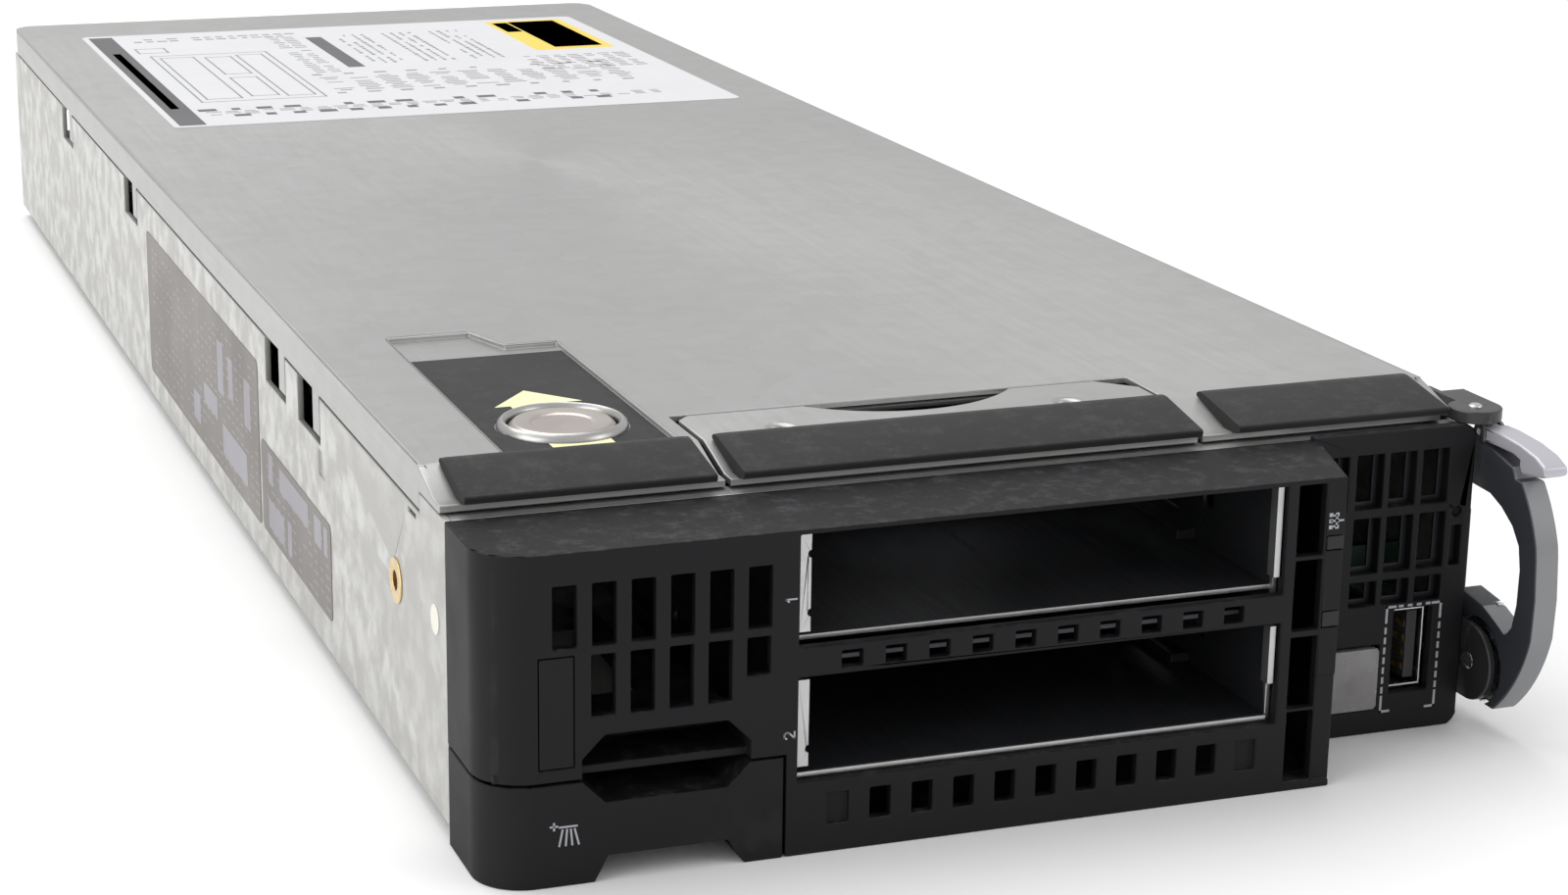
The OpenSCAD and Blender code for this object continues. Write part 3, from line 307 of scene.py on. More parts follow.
def makeFinish(name, given):
    look = {**commonLook, **given}
    finish = bpy.data.materials.new(name)
    finish.use_nodes = True
    tree = finish.node_tree
    shader = tree.nodes["Principled BSDF"]
    for key, socket in shaderInputs.items():
        if key in look:
            shader.inputs[socket].default_value = look[key]
    grain = addGroup(tree, "grain", Scale=look["grainScale"], Blotch_Scale=look["blotchScale"])
    colour = mixColours(tree, grain["Blotch"], look["colour"], look["blotch"])
    height = mathNode(tree, "MULTIPLY", grain["Height"], look["grainDepth"])
    roughMask = grain["Blotch"]
    if "streakScale" in look:
        streaks = addGroup(tree, "streaks", Scale=look["streakScale"], Spangle_Scale=look["spangleScale"])
        spangled = mathNode(tree, "MULTIPLY", streaks["Spangle"], look["spangle"])
        colour = mixColours(tree, spangled, colour, look["spangleColour"])
        rolled = mathNode(tree, "MULTIPLY", streaks["Streak"], look["streakDepth"])
        height = mathNode(tree, "ADD", height, rolled)
        roughMask = streaks["Streak"]
    if "threadScale" in look:
        weave = addGroup(tree, "weave", Thread_Scale=look["threadScale"])
        woven = mathNode(tree, "MULTIPLY", weave["Height"], look["threadDepth"])
        height = mathNode(tree, "ADD", height, woven)
        threads = mathNode(tree, "MULTIPLY", weave["Thread"], look["threadShare"])
        colour = mixColours(tree, threads, colour, look["threadColour"])
    if "traceScale" in look:
        traces = addGroup(tree, "traces", Scale=look["traceScale"])
        lines = mathNode(tree, "MULTIPLY", traces["Trace"], look["traceShare"])
        colour = mixColours(tree, lines, colour, look["traceColour"])
        colour = mixColours(tree, traces["Pad"], colour, look["padColour"])
    for kind, (tone, scale) in overlays.items():
        if kind in look:
            mask = addGroup(tree, kind, Amount=look[kind], Scale=look[scale])["Mask"]
            colour = mixColours(tree, mask, colour, look[tone])
    tree.links.new(colour, shader.inputs["Base Color"])
    rough = tree.nodes.new("ShaderNodeMapRange")
    rough.inputs["To Min"].default_value, rough.inputs["To Max"].default_value = look["roughness"]
    tree.links.new(roughMask, rough.inputs["Value"])
    tree.links.new(rough.outputs["Result"], shader.inputs["Roughness"])
    bump = tree.nodes.new("ShaderNodeBump")
    bump.inputs["Distance"].default_value = look["bumpDistance"]
    bump.inputs["Strength"].default_value = look["bumpStrength"]
    tree.links.new(height, bump.inputs["Height"])
    tree.links.new(bump.outputs["Normal"], shader.inputs["Normal"])
    return finish


looks = {
    "hoodSheet": {
        "colour": (0.4, 0.4, 0.395), "blotch": (0.44, 0.44, 0.43), "metallic": 0.8,
        "roughness": (0.34, 0.46), "blotchScale": 14.0, "streakScale": 90.0, "spangleScale": 240.0,
        "spangle": 0.35, "spangleColour": (0.48, 0.485, 0.49), "streakDepth": 0.35, "grainDepth": 0.25,
        "scuffs": 0.2, "scuffColour": (0.52, 0.52, 0.52), "scuffScale": 16.0, "dustAndTopLight": 0.12,
        "anisotropic": 0.3,
    },
    "traySheet": {
        "colour": (0.43, 0.425, 0.405), "blotch": (0.415, 0.41, 0.392), "metallic": 0.75,
        "roughness": (0.4, 0.47), "blotchScale": 22.0, "streakScale": 70.0, "spangleScale": 200.0,
        "spangle": 0.12, "spangleColour": (0.46, 0.455, 0.435), "streakDepth": 0.1, "grainDepth": 0.25,
        "scuffs": 0.12, "scuffColour": (0.52, 0.51, 0.49), "wear": 0.6, "wearColour": (0.7, 0.7, 0.69),
    },
    "cageSheet": {
        "colour": (0.5, 0.5, 0.49), "blotch": (0.44, 0.44, 0.44), "metallic": 0.9, "roughness": (0.26, 0.4),
        "blotchScale": 30.0, "streakScale": 110.0, "spangleScale": 260.0, "spangle": 0.3,
        "spangleColour": (0.62, 0.63, 0.64), "streakDepth": 0.3, "scuffs": 0.3,
        "scuffColour": (0.7, 0.7, 0.7),
    },
    # a dark copy of sheet metal: painted shade where it lines the drive cage
    "darkAndShadedSheet": {
        "colour": (0.05, 0.052, 0.058), "blotch": (0.038, 0.04, 0.045), "metallic": 0.7,
        "roughness": (0.34, 0.5), "blotchScale": 30.0, "streakScale": 110.0, "spangleScale": 260.0,
        "spangle": 0.25, "spangleColour": (0.07, 0.072, 0.078), "streakDepth": 0.3,
    },
    # the dust on its upward faces is also painted light: it makes the top lighter than the front
    "bezelPlastic": {
        "colour": (0.0056, 0.0054, 0.0066), "blotch": (0.0076, 0.0073, 0.0086), "roughness": (0.5, 0.6),
        "specular": 0.2, "grainScale": 2400.0, "grainDepth": 1.0, "blotchScale": 60.0, "wear": 0.2,
        "wearColour": (0.04, 0.04, 0.042), "scuffs": 0.06, "scuffColour": (0.05, 0.05, 0.05), "dustAndTopLight": 0.4,
        "dustAndTopLightColour": (0.15, 0.145, 0.155), "bumpStrength": 0.5,
    },
    "badgeGloss": {
        "colour": (0.004, 0.004, 0.005), "blotch": (0.006, 0.006, 0.007), "roughness": (0.34, 0.42),
        "specular": 0.2, "grainDepth": 0.1, "dustAndTopLight": 0.1,
    },
    "smokedWindow": {
        "colour": (0.012, 0.012, 0.014), "blotch": (0.016, 0.016, 0.018), "roughness": (0.36, 0.46),
        "specular": 0.3, "grainDepth": 0.1,
    },
    "smokeButton": {
        "colour": (0.17, 0.16, 0.165), "blotch": (0.26, 0.25, 0.25), "roughness": (0.18, 0.34),
        "blotchScale": 170.0, "coat": 0.6, "coatRoughness": 0.12, "grainDepth": 0.2, "transmission": 0.25,
    },
    "paleCard": {
        "colour": (0.68, 0.68, 0.66), "blotch": (0.6, 0.6, 0.58), "roughness": (0.45, 0.6), "dustAndTopLight": 0.2,
    },
    "guidePlastic": {
        "colour": (0.03, 0.03, 0.033), "blotch": (0.04, 0.04, 0.042), "roughness": (0.5, 0.62),
        "grainScale": 1800.0, "dustAndTopLight": 0.2,
    },
    "nickel": {
        "colour": (0.5, 0.455, 0.42), "blotch": (0.55, 0.51, 0.47), "metallic": 1.0,
        "roughness": (0.3, 0.4), "blotchScale": 90.0, "grainDepth": 0.2, "scuffs": 0.2,
        "scuffColour": (0.65, 0.62, 0.59),
    },
    "ringNickel": {
        "colour": (0.5, 0.49, 0.48), "blotch": (0.44, 0.44, 0.43), "metallic": 1.0,
        "roughness": (0.26, 0.36), "blotchScale": 200.0, "grainDepth": 0.2,
    },
    "springSteel": {
        "colour": (0.6, 0.6, 0.61), "blotch": (0.5, 0.5, 0.51), "metallic": 1.0, "roughness": (0.2, 0.3),
        "blotchScale": 500.0,
    },
    "whiteFilm": {
        "colour": (0.66, 0.66, 0.68), "blotch": (0.62, 0.62, 0.64), "roughness": (0.32, 0.42),
        "grainDepth": 0.15, "scuffs": 0.15, "scuffColour": (0.7, 0.7, 0.72), "dustAndTopLight": 0.12,
    },
    "blackFilm": {
        "colour": (0.014, 0.013, 0.015), "blotch": (0.019, 0.018, 0.02), "roughness": (0.46, 0.56),
        "specular": 0.25, "grainDepth": 0.2, "dustAndTopLight": 0.1, "dustAndTopLightColour": (0.3, 0.29, 0.29),
    },
    "greyFilm": {
        "colour": (0.17, 0.155, 0.142), "blotch": (0.15, 0.138, 0.128), "roughness": (0.42, 0.54),
        "grainDepth": 0.15, "scuffs": 0.15, "scuffColour": (0.4, 0.39, 0.37),
    },
    "faintPrint": {
        "colour": (0.24, 0.228, 0.222), "blotch": (0.21, 0.2, 0.195), "roughness": (0.4, 0.5),
        "grainDepth": 0.1,
    },
    "greyPrint": {
        "colour": (0.25, 0.24, 0.27), "blotch": (0.22, 0.21, 0.235), "roughness": (0.35, 0.45),
        "grainDepth": 0.1,
    },
    "darkPrint": {
        "colour": (0.07, 0.065, 0.07), "blotch": (0.1, 0.095, 0.1), "roughness": (0.4, 0.5),
        "grainDepth": 0.1,
    },
    "softPrint": {
        "colour": (0.2, 0.2, 0.22), "blotch": (0.28, 0.28, 0.3), "roughness": (0.35, 0.45),
        "grainDepth": 0.1,
    },
    "paleYellow": {
        "colour": (0.86, 0.84, 0.5), "blotch": (0.82, 0.79, 0.46), "roughness": (0.4, 0.5),
        "grainDepth": 0.15, "dustAndTopLight": 0.08,
    },
    "strongYellow": {
        "colour": (0.86, 0.62, 0.06), "blotch": (0.8, 0.57, 0.05), "roughness": (0.35, 0.45),
        "grainDepth": 0.1,
    },
    "legendPrint": {
        "colour": (0.36, 0.37, 0.39), "blotch": (0.3, 0.31, 0.33), "roughness": (0.45, 0.55),
        "grainDepth": 0.1,
    },
    "paperDot": {
        "colour": (0.72, 0.7, 0.62), "blotch": (0.66, 0.64, 0.56), "roughness": (0.5, 0.6),
        "grainDepth": 0.2,
    },
    "brass": {
        "colour": (0.72, 0.55, 0.27), "blotch": (0.62, 0.46, 0.22), "metallic": 1.0,
        "roughness": (0.22, 0.36), "blotchScale": 260.0,
    },
    "gasketCloth": {
        "colour": (0.0105, 0.0092, 0.0102), "blotch": (0.0135, 0.012, 0.013), "roughness": (0.78, 0.9),
        "sheen": 0.12, "specular": 0.3, "threadScale": 1500.0, "threadDepth": 0.6,
        "threadColour": (0.019, 0.0168, 0.018), "bumpDistance": 8e-05, "dustAndTopLight": 0.2,
        "dustAndTopLightColour": (0.2, 0.19, 0.19), "sheenRoughness": 0.5,
    },
    "gasketFoam": {
        "colour": (0.014, 0.013, 0.013), "blotch": (0.02, 0.019, 0.019), "roughness": (0.85, 0.95),
        "grainScale": 3000.0, "grainDepth": 1.0, "bumpDistance": 0.0002, "blotchScale": 900.0,
    },
    "bracketPaint": {
        "colour": (0.018, 0.018, 0.02), "blotch": (0.026, 0.026, 0.028), "roughness": (0.3, 0.42),
        "grainDepth": 0.4, "wear": 0.5, "wearColour": (0.35, 0.35, 0.35),
    },
    "leverPaint": {
        "colour": (0.035, 0.038, 0.046), "blotch": (0.042, 0.045, 0.053), "metallic": 0.3,
        "roughness": (0.4, 0.5), "grainScale": 2600.0, "grainDepth": 0.7, "wear": 0.4,
        "wearColour": (0.3, 0.3, 0.31), "dustAndTopLight": 0.1,
    },
    # a lighter copy of the lever paint: painted light on the grip's front-facing faces
    "leverPaintLit": {
        "colour": (0.2, 0.205, 0.215), "blotch": (0.23, 0.232, 0.24), "metallic": 0.3,
        "roughness": (0.38, 0.48), "grainScale": 2600.0, "grainDepth": 0.6, "wear": 0.3,
        "wearColour": (0.45, 0.45, 0.46), "dustAndTopLight": 0.1,
    },
    "leverSilver": {
        "colour": (0.5, 0.49, 0.53), "blotch": (0.46, 0.45, 0.49), "metallic": 0.35,
        "roughness": (0.32, 0.42), "grainScale": 2600.0, "grainDepth": 0.5, "wear": 0.3,
        "wearColour": (0.75, 0.75, 0.77),
    },
    "brightSteel": {
        "colour": (0.66, 0.66, 0.66), "blotch": (0.58, 0.58, 0.58), "metallic": 1.0,
        "roughness": (0.2, 0.34), "blotchScale": 240.0,
    },
    "boardGreen": {
        "colour": (0.006, 0.03, 0.016), "blotch": (0.008, 0.035, 0.019), "roughness": (0.3, 0.42),
        "traceScale": 55.0, "traceColour": (0.012, 0.06, 0.03), "padColour": (0.5, 0.42, 0.2), "coat": 0.3,
        "coatRoughness": 0.2,
    },
    "connectorBlack": {
        "colour": (0.02, 0.02, 0.021), "blotch": (0.028, 0.028, 0.03), "roughness": (0.42, 0.55),
        "dustAndTopLight": 0.15,
    },
    "connectorPale": {
        "colour": (0.62, 0.6, 0.53), "blotch": (0.56, 0.54, 0.47), "roughness": (0.4, 0.52), "dustAndTopLight": 0.15,
    },
    "finAluminium": {
        "colour": (0.5, 0.505, 0.51), "blotch": (0.45, 0.455, 0.46), "metallic": 1.0,
        "roughness": (0.28, 0.4), "streakScale": 120.0, "spangle": 0.1, "spangleColour": (0.8, 0.8, 0.8),
    },
    "bafflePlastic": {
        "colour": (0.05, 0.05, 0.055), "blotch": (0.06, 0.06, 0.065), "roughness": (0.25, 0.38),
        "dustAndTopLight": 0.2,
    },
    "goldContact": {
        "colour": (0.83, 0.62, 0.24), "blotch": (0.76, 0.56, 0.2), "metallic": 1.0,
        "roughness": (0.2, 0.32), "blotchScale": 600.0,
    },
}
finishes = {name: makeFinish(name, look) for name, look in looks.items()}
print("finishes built:", len(finishes))

# distances in metres, angles in degrees
meshLook = {
    "join": 1e-6, "flat": 0.4, "smooth": 32, "bevelFrom": 34, "rounded": 38, "bendSteps": 5, "mostSides": 4,
    "normalWeight": 50, "printed": 30,
}


def link(piece):
    bpy.context.scene.collection.objects.link(piece)
    return piece


def carried(piece, nodeName, instead=False):
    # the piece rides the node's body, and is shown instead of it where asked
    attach(piece, nodes[nodeName]["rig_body"])
    if instead:
        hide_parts(nodeName)
    return piece


def smoothByAngle(mesh, degrees):
    for polygon in mesh.polygons:
        polygon.use_smooth = True
    mesh.set_sharp_from_angle(angle=math.radians(degrees))


def finished(piece, modifiers=()):
    # the modified mesh becomes the piece's own mesh
    for kind, values in modifiers:
        modifier = piece.modifiers.new(kind.title(), kind)
        for key, value in values.items():
            setattr(modifier, key, value)
    bpy.context.view_layer.update()
    evaluated = piece.evaluated_get(bpy.context.evaluated_depsgraph_get())
    mesh = bpy.data.meshes.new_from_object(evaluated)
    piece.modifiers.clear()
    piece.data = mesh
    return piece


def joined(nodeName, pieceName):
    # a copy of the node's mesh, and its shape with the triangles joined to flat faces
    mesh = nodes[nodeName].data.copy()
    mesh.name = pieceName
    shape = bmesh.new()
    shape.from_mesh(mesh)
    bmesh.ops.remove_doubles(shape, verts=shape.verts, dist=meshLook["join"])
    flat = math.radians(meshLook["flat"])
    bmesh.ops.dissolve_limit(shape, angle_limit=flat, verts=shape.verts, edges=shape.edges)
    mesh.materials.clear()
    return mesh, shape


def refined(nodeName, pieceName, finishName, edge, segments=2, bends=None, radius=0.0):
    # a copy of the node with its edges rounded, shown in its place
    mesh, shape = joined(nodeName, pieceName)
    if bends:
        chosen = [e for e in shape.edges if bends(local(e.verts[0].co), local(e.verts[1].co))]
        bmesh.ops.bevel(shape, geom=chosen, offset=radius * mm, segments=meshLook["bendSteps"],
                        affect="EDGES", profile=0.5)
    manySided = [face for face in shape.faces if len(face.verts) > meshLook["mostSides"]]
    bmesh.ops.triangulate(shape, faces=manySided)
    shape.to_mesh(mesh)
    shape.free()
    mesh.materials.append(finishes[finishName])
    piece = link(bpy.data.objects.new(pieceName, mesh))
    smoothByAngle(mesh, meshLook["smooth"])
    if edge:
        bevel = {
            "width": edge * mm, "segments": segments, "limit_method": "ANGLE", "harden_normals": False,
            "angle_limit": math.radians(meshLook["bevelFrom"]), "use_clamp_overlap": False,
        }
        finished(piece, [("BEVEL", bevel)])
        smoothByAngle(piece.data, meshLook["rounded"])
        weights = {"keep_sharp": True, "weight": meshLook["normalWeight"]}
        finished(piece, [("WEIGHTED_NORMAL", weights)])
    return carried(piece, nodeName, True)


def refineAll(pieces, segments=2):
    for nodeName, (pieceName, finishName, edge) in pieces.items():
        refined(nodeName, pieceName, finishName, edge, segments)


def tint(piece, finishName, chosen):
    # a second finish on the faces that chosen picks by centre and normal
    piece.data.materials.append(finishes[finishName])
    for polygon in piece.data.polygons:
        if chosen(local(polygon.center), polygon.normal):
            polygon.material_index = 1


def extrude(shape, outline, axis, levels):
    # the flat outline in millimetres at both levels along the axis, and the walls between
    rings = []
    for level in levels:
        spots = [{"x": (level, p, q), "y": (p, level, q), "z": (p, q, level)}[axis] for p, q in outline]
        rings.append([shape.verts.new(place(*spot)) for spot in spots])
    shape.faces.new(rings[0])
    shape.faces.new(rings[1])
    for index in range(len(outline)):
        after = (index + 1) % len(outline)
        shape.faces.new((rings[0][index], rings[0][after], rings[1][after], rings[1][index]))


def printed(name, shape, finishName, nodeName):
    # the shape as a piece of its own, riding with the node that carries it
    bmesh.ops.recalc_face_normals(shape, faces=shape.faces)
    mesh = bpy.data.meshes.new(name)
    shape.to_mesh(mesh)
    shape.free()
    mesh.materials.append(finishes[finishName])
    smoothByAngle(mesh, meshLook["printed"])
    return carried(link(bpy.data.objects.new(name, mesh)), nodeName)


def prism(name, outline, axis, start, depth, finishName, nodeName):
    shape = bmesh.new()
    extrude(shape, outline, axis, (start, start + depth))
    return printed(name, shape, finishName, nodeName)


def rectangle(x, y, width, height):
    return [(x, y), (x + width, y), (x + width, y + height), (x, y + height)]


def bar(first, second, width):
    # the outline of a thin bar from point to point, half its width past both
    length = math.dist(first, second)
    ux, uy = (second[0] - first[0]) / length, (second[1] - first[1]) / length
    half = width / 2
    startX, startY = first[0] - ux * half, first[1] - uy * half
    endX, endY = second[0] + ux * half, second[1] + uy * half
    return [
        (startX - uy * half, startY + ux * half), (startX + uy * half, startY - ux * half),
        (endX + uy * half, endY - ux * half), (endX - uy * half, endY + ux * half),
    ]


def strokes(name, lines, axis, start, depth, width, finishName, nodeName):
    # thin bars along each line of points, joined in one piece
    shape = bmesh.new()
    for line in lines:
        for first, second in zip(line, line[1:]):
            extrude(shape, bar(first, second, width), axis, (start, start + depth))
    return printed(name, shape, finishName, nodeName)


def buildRowTree():
    # equal blocks set out on a grid, each with its own random size
    tree = bpy.data.node_groups.new("blockRows", "GeometryNodeTree")
    wanted = {
        "Start": "Vector", "Column Step": "Vector", "Row Step": "Vector", "Columns": "Int", "Rows": "Int",
        "Block Size": "Vector", "Shortest": "Vector", "Kept Share": "Float", "Seed": "Int",
        "Finish": "Material",
    }
    for label, kind in wanted.items():
        tree.interface.new_socket(name=label, in_out="INPUT", socket_type="NodeSocket" + kind)
    tree.interface.new_socket(name="Geometry", in_out="OUTPUT", socket_type="NodeSocketGeometry")
    given = tree.nodes.new("NodeGroupInput").outputs
    end = tree.nodes.new("NodeGroupOutput")

    def wired(kind, wires, **settings):
        node = tree.nodes.new(kind)
        for key, value in settings.items():
            setattr(node, key, value)
        for label, source in wires.items():
            socket = next(s for s in node.inputs if s.name == label and s.enabled)
            tree.links.new(source, socket)
        return node

    column = wired("GeometryNodeMeshLine", {
        "Count": given["Columns"], "Offset": given["Column Step"], "Start Location": given["Start"],
    }, mode="OFFSET")
    row = wired("GeometryNodeMeshLine", {
        "Count": given["Rows"], "Offset": given["Row Step"],
    }, mode="OFFSET")
    spread = wired("GeometryNodeInstanceOnPoints", {
        "Points": column.outputs["Mesh"], "Instance": row.outputs["Mesh"],
    })
    grid = wired("GeometryNodeRealizeInstances", {"Geometry": spread.outputs["Instances"]})
    keep = wired("FunctionNodeRandomValue", {
        "Probability": given["Kept Share"], "Seed": given["Seed"],
    }, data_type="BOOLEAN")
    size = wired("FunctionNodeRandomValue", {
        "Min": given["Shortest"], "Seed": given["Seed"],
    }, data_type="FLOAT_VECTOR")
    size.inputs["Max"].default_value = (1.0, 1.0, 1.0)
    block = wired("GeometryNodeMeshCube", {"Size": given["Block Size"]})
    fill = wired("GeometryNodeInstanceOnPoints", {
        "Points": grid.outputs["Geometry"], "Selection": next(s for s in keep.outputs if s.enabled),
        "Instance": block.outputs["Mesh"], "Scale": size.outputs["Value"],
    })
    real = wired("GeometryNodeRealizeInstances", {"Geometry": fill.outputs["Instances"]})
    paint = wired("GeometryNodeSetMaterial", {
        "Geometry": real.outputs["Geometry"], "Material": given["Finish"],
    })
    tree.links.new(paint.outputs["Geometry"], end.inputs["Geometry"])
    return tree


rowTree = buildRowTree()


def blockRows(name, start, columnStep, rowStep, columns, rows, size, finishName, nodeName,
              shortest=(1, 1, 1), keptShare=1.0, seed=3):
    piece = link(bpy.data.objects.new(name, bpy.data.meshes.new(name)))
    modifier = piece.modifiers.new("rows", "NODES")
    modifier.node_group = rowTree
    values = {
        "Start": place(*start), "Column Step": Vector(columnStep) * mm, "Row Step": Vector(rowStep) * mm,
        "Columns": columns, "Rows": rows, "Block Size": Vector(size) * mm, "Shortest": shortest,
        "Kept Share": keptShare, "Seed": seed, "Finish": finishes[finishName],
    }
    for socket in rowTree.interface.items_tree:
        if socket.in_out == "INPUT":
            value = values[socket.name]
            single = isinstance(value, (int, float, bpy.types.Material))
            modifier[socket.identifier] = value if single else tuple(value)
    return carried(finished(piece), nodeName)


# an edge near a side wall, level, near the top and long is one of the hood's two bends
hoodLook = {"edge": 0.22, "bend": 1.1, "side": 0.2, "level": 0.05, "depth": 1.5, "length": 50}
hoodHigh = span("hood")[1]


def hoodBend(a, b):
    outer = min(a.x, b.x) < hoodLook["side"] or max(a.x, b.x) > hoodHigh.x - hoodLook["side"]
    level = abs(a.z - b.z) < hoodLook["level"] and a.z > hoodHigh.z - hoodLook["depth"]
    return outer and level and abs(a.y - b.y) > hoodLook["length"]


refined("hood", "hoodShell", "hoodSheet", hoodLook["edge"], bends=hoodBend, radius=hoodLook["bend"])
# node: piece, finish and edge radius in millimetres
refineAll({
    "chassis_tray": ("trayFloor", "traySheet", 0.2),
    "side_wall_left": ("wallLeft", "traySheet", 0.2),
    "side_wall_right": ("wallRight", "traySheet", 0.2),
    "front_rail": ("frontRail", "cageSheet", 0.2),
    "centre_plate": ("centrePlate", "hoodSheet", 0.22),
    "front_screen": ("frontScreen", "darkAndShadedSheet", 0.05),
    "side_insert": ("sideInsert", "brass", 0.15),
    "side_dot": ("sideDot", "paperDot", 0.05),
    "keeper_rivet": ("keeperRivet", "brightSteel", 0.08),
    "latch_ring": ("latchRing", "ringNickel", 0.12),
    "latch_button": ("latchButton", "nickel", 0.15),
    "latch_spring": ("latchSpring", "springSteel", 0.0),
    "latch_housing": ("latchHousing", "guidePlastic", 0.2),
    "latch_plate": ("latchPlate", "blackFilm", 0.0),
    "hood_label": ("hoodLabel", "whiteFilm", 0.0),
    "side_label_front": ("sideLabelFront", "greyFilm", 0.0),
    "side_label_rear": ("sideLabelRear", "greyFilm", 0.0),
})
# bright folded edges round the bays, and painted shade inside the cage: a dark copy of the sheet metal
cageLook = {"edge": 0.12, "hemDepth": 2.3}
cagePiece = refined("drive_cage", "driveCage", "darkAndShadedSheet", cageLook["edge"])
bayLow, bayHigh = span("drive_cage")
tint(cagePiece, "cageSheet", lambda centre, normal: centre.y < bayLow.y + cageLook["hemDepth"])
print("sheet metal and latch done")

refineAll({
    "front_bezel": ("frontBezel", "bezelPlastic", 0.28),
    "pull_tab": ("pullTab", "bezelPlastic", 0.28),
    "badge_plate": ("badgePlate", "badgeGloss", 0.12),
    "light_windows": ("lightWindows", "smokedWindow", 0.1),
    "tab_card": ("tabCard", "paleCard", 0.15),
    "tab_guide": ("tabGuides", "guidePlastic", 0.15),
    "power_button": ("powerButton", "smokeButton", 0.15),
    "power_switch": ("powerSwitch", "connectorBlack", 0.15),
    "usb_shell": ("portShell", "brightSteel", 0.1),
    "usb_tongue": ("portTongue", "connectorBlack", 0.1),
    "port_board": ("portBoard", "boardGreen", 0.1),
})

# the dashed frame printed round the port: corners drawn, dashes between them
portLook = {
    "margin": 1.9, "lower": 1.6, "drop": 0.9, "recess": 0.6, "rise": 0.04, "ink": 0.08, "line": 0.42,
    "corner": 2.6, "foot": 0.6, "dash": 1.15, "gap": 1.75, "first": 1.2,
    "topDash": 0.9, "topGap": 1.7, "topFirst": 1.1, "topCount": 4,
}
portLow, portHigh = span("usb_shell")
panelFace = span("power_button")[0].y + portLook["recess"]
left = portLow.x - portLook["margin"]
right = portHigh.x + portLook["margin"]
low = portLow.z - portLook["margin"] - portLook["lower"]
high = portHigh.z + portLook["margin"] - portLook["drop"]
reach = portLook["corner"]
foot = reach * portLook["foot"]
strokes("portFrame", [
    [(left, low + reach), (left, low), (left + foot, low)],
    [(right - foot, low), (right, low), (right, low + reach)],
    [(left, high - reach), (left, high), (left + foot, high)],
    [(right - foot, high), (right, high), (right, high - reach)],
], "y", panelFace - portLook["rise"], portLook["ink"], portLook["line"], "legendPrint", "front_bezel")
dashCount = int((high - low - 2 * reach) / portLook["gap"])
sideDash = (portLook["line"], portLook["ink"], portLook["dash"])
for name, x in (("portDashLeft", left), ("portDashRight", right)):
    blockRows(name, (x, panelFace, low + reach + portLook["first"]), (0, 0, portLook["gap"]), (0, 0, 1),
              dashCount, 1, sideDash, "legendPrint", "front_bezel")
blockRows("portDashTop", (left + foot + portLook["topFirst"], panelFace, high), (portLook["topGap"], 0, 0),
          (1, 0, 0), portLook["topCount"], 1, (portLook["topDash"], portLook["ink"], portLook["line"]),
          "legendPrint", "front_bezel")
portContactLook = {"start": (3.26, 4.4, 2.4), "gap": 2.5, "count": 4, "size": (0.14, 7.4, 1.1)}
blockRows("portContacts", span("usb_tongue")[0] + Vector(portContactLook["start"]),
          (0, 0, portContactLook["gap"]), (1, 0, 0), portContactLook["count"], 1, portContactLook["size"],
          "goldContact", "usb_shell")

# strokes of each mark in its own cell
legendLook = {"rise": 0.03, "ink": 0.06}
marks = {
    "one": [[(0.25, 1.7), (0.75, 2.3), (0.75, 0.0)]],
    "two": [[(0.0, 1.8), (0.35, 2.25), (1.0, 2.25), (1.35, 1.75), (1.25, 1.2), (0.0, 0.0), (1.4, 0.0)]],
    "network": [
        [(0, -1.3), (0, 1.3)], [(-1.1, 0.1), (1.1, 0.1)], [(-1.1, 0.1), (-1.1, 0.9)],
        [(1.1, 0.1), (1.1, 0.9)],
    ],
    "tab": [
        [(0.0, 2.3), (2.6, 2.3)], [(0.4, 1.8), (-0.1, -0.6)], [(1.1, 1.8), (0.9, -0.6)],
        [(1.7, 1.8), (1.9, -0.6)], [(2.3, 1.8), (2.9, -0.6)], [(-0.9, 2.0), (-0.9, 3.0)],
        [(-1.4, 2.5), (-0.4, 2.5)],
    ],
}


def legend(name, mark, x, z, size, line, nodeName="front_bezel", turned=True):
    # a mark on the bezel's face, turned on its side as most of them are
    placed = []
    for points in marks[mark]:
        if turned:
            placed.append([(x - q * size, z + p * size) for p, q in points])
        else:
            placed.append([(x + p * size, z + q * size) for p, q in points])
    strokes(name, placed, "y", -legendLook["rise"], legendLook["ink"], line, "legendPrint", nodeName)


digitLook = {"size": 0.72, "clear": 0.3, "line": 0.26, "upper": 14.2, "lower": 19.2}
digitX = bayLow.x - digitLook["clear"]
legend("bayDigitOne", "one", digitX, bayHigh.z - digitLook["upper"], digitLook["size"], digitLook["line"])
legend("bayDigitTwo", "two", digitX, digitLook["lower"], digitLook["size"], digitLook["line"])
networkLook = {
    "left": 1.6, "above": 2.6, "size": 0.8, "line": 0.3, "dotsLeft": 2.7, "dotsAbove": 1.6,
    "dotStep": (0, 0, 1.0), "dotRowStep": (1.1, 0, 0), "dots": (3, 2), "dot": (0.62, 0.06, 0.62),
}
windowsHigh = span("light_windows")[1]
legend("networkMark", "network", windowsHigh.x - networkLook["left"], windowsHigh.z + networkLook["above"],
       networkLook["size"], networkLook["line"])
dotsStart = (windowsHigh.x - networkLook["dotsLeft"], 0.0, windowsHigh.z + networkLook["dotsAbove"])
blockRows("networkDots", dotsStart, networkLook["dotStep"], networkLook["dotRowStep"], *networkLook["dots"],
          networkLook["dot"], "legendPrint", "front_bezel")
tabLook = {"x": 11.6, "z": 7.2, "size": 1.0, "line": 0.3}
legend("tabMark", "tab", tabLook["x"], tabLook["z"], tabLook["size"], tabLook["line"], "pull_tab", False)
print("bezel, tab and ports done")

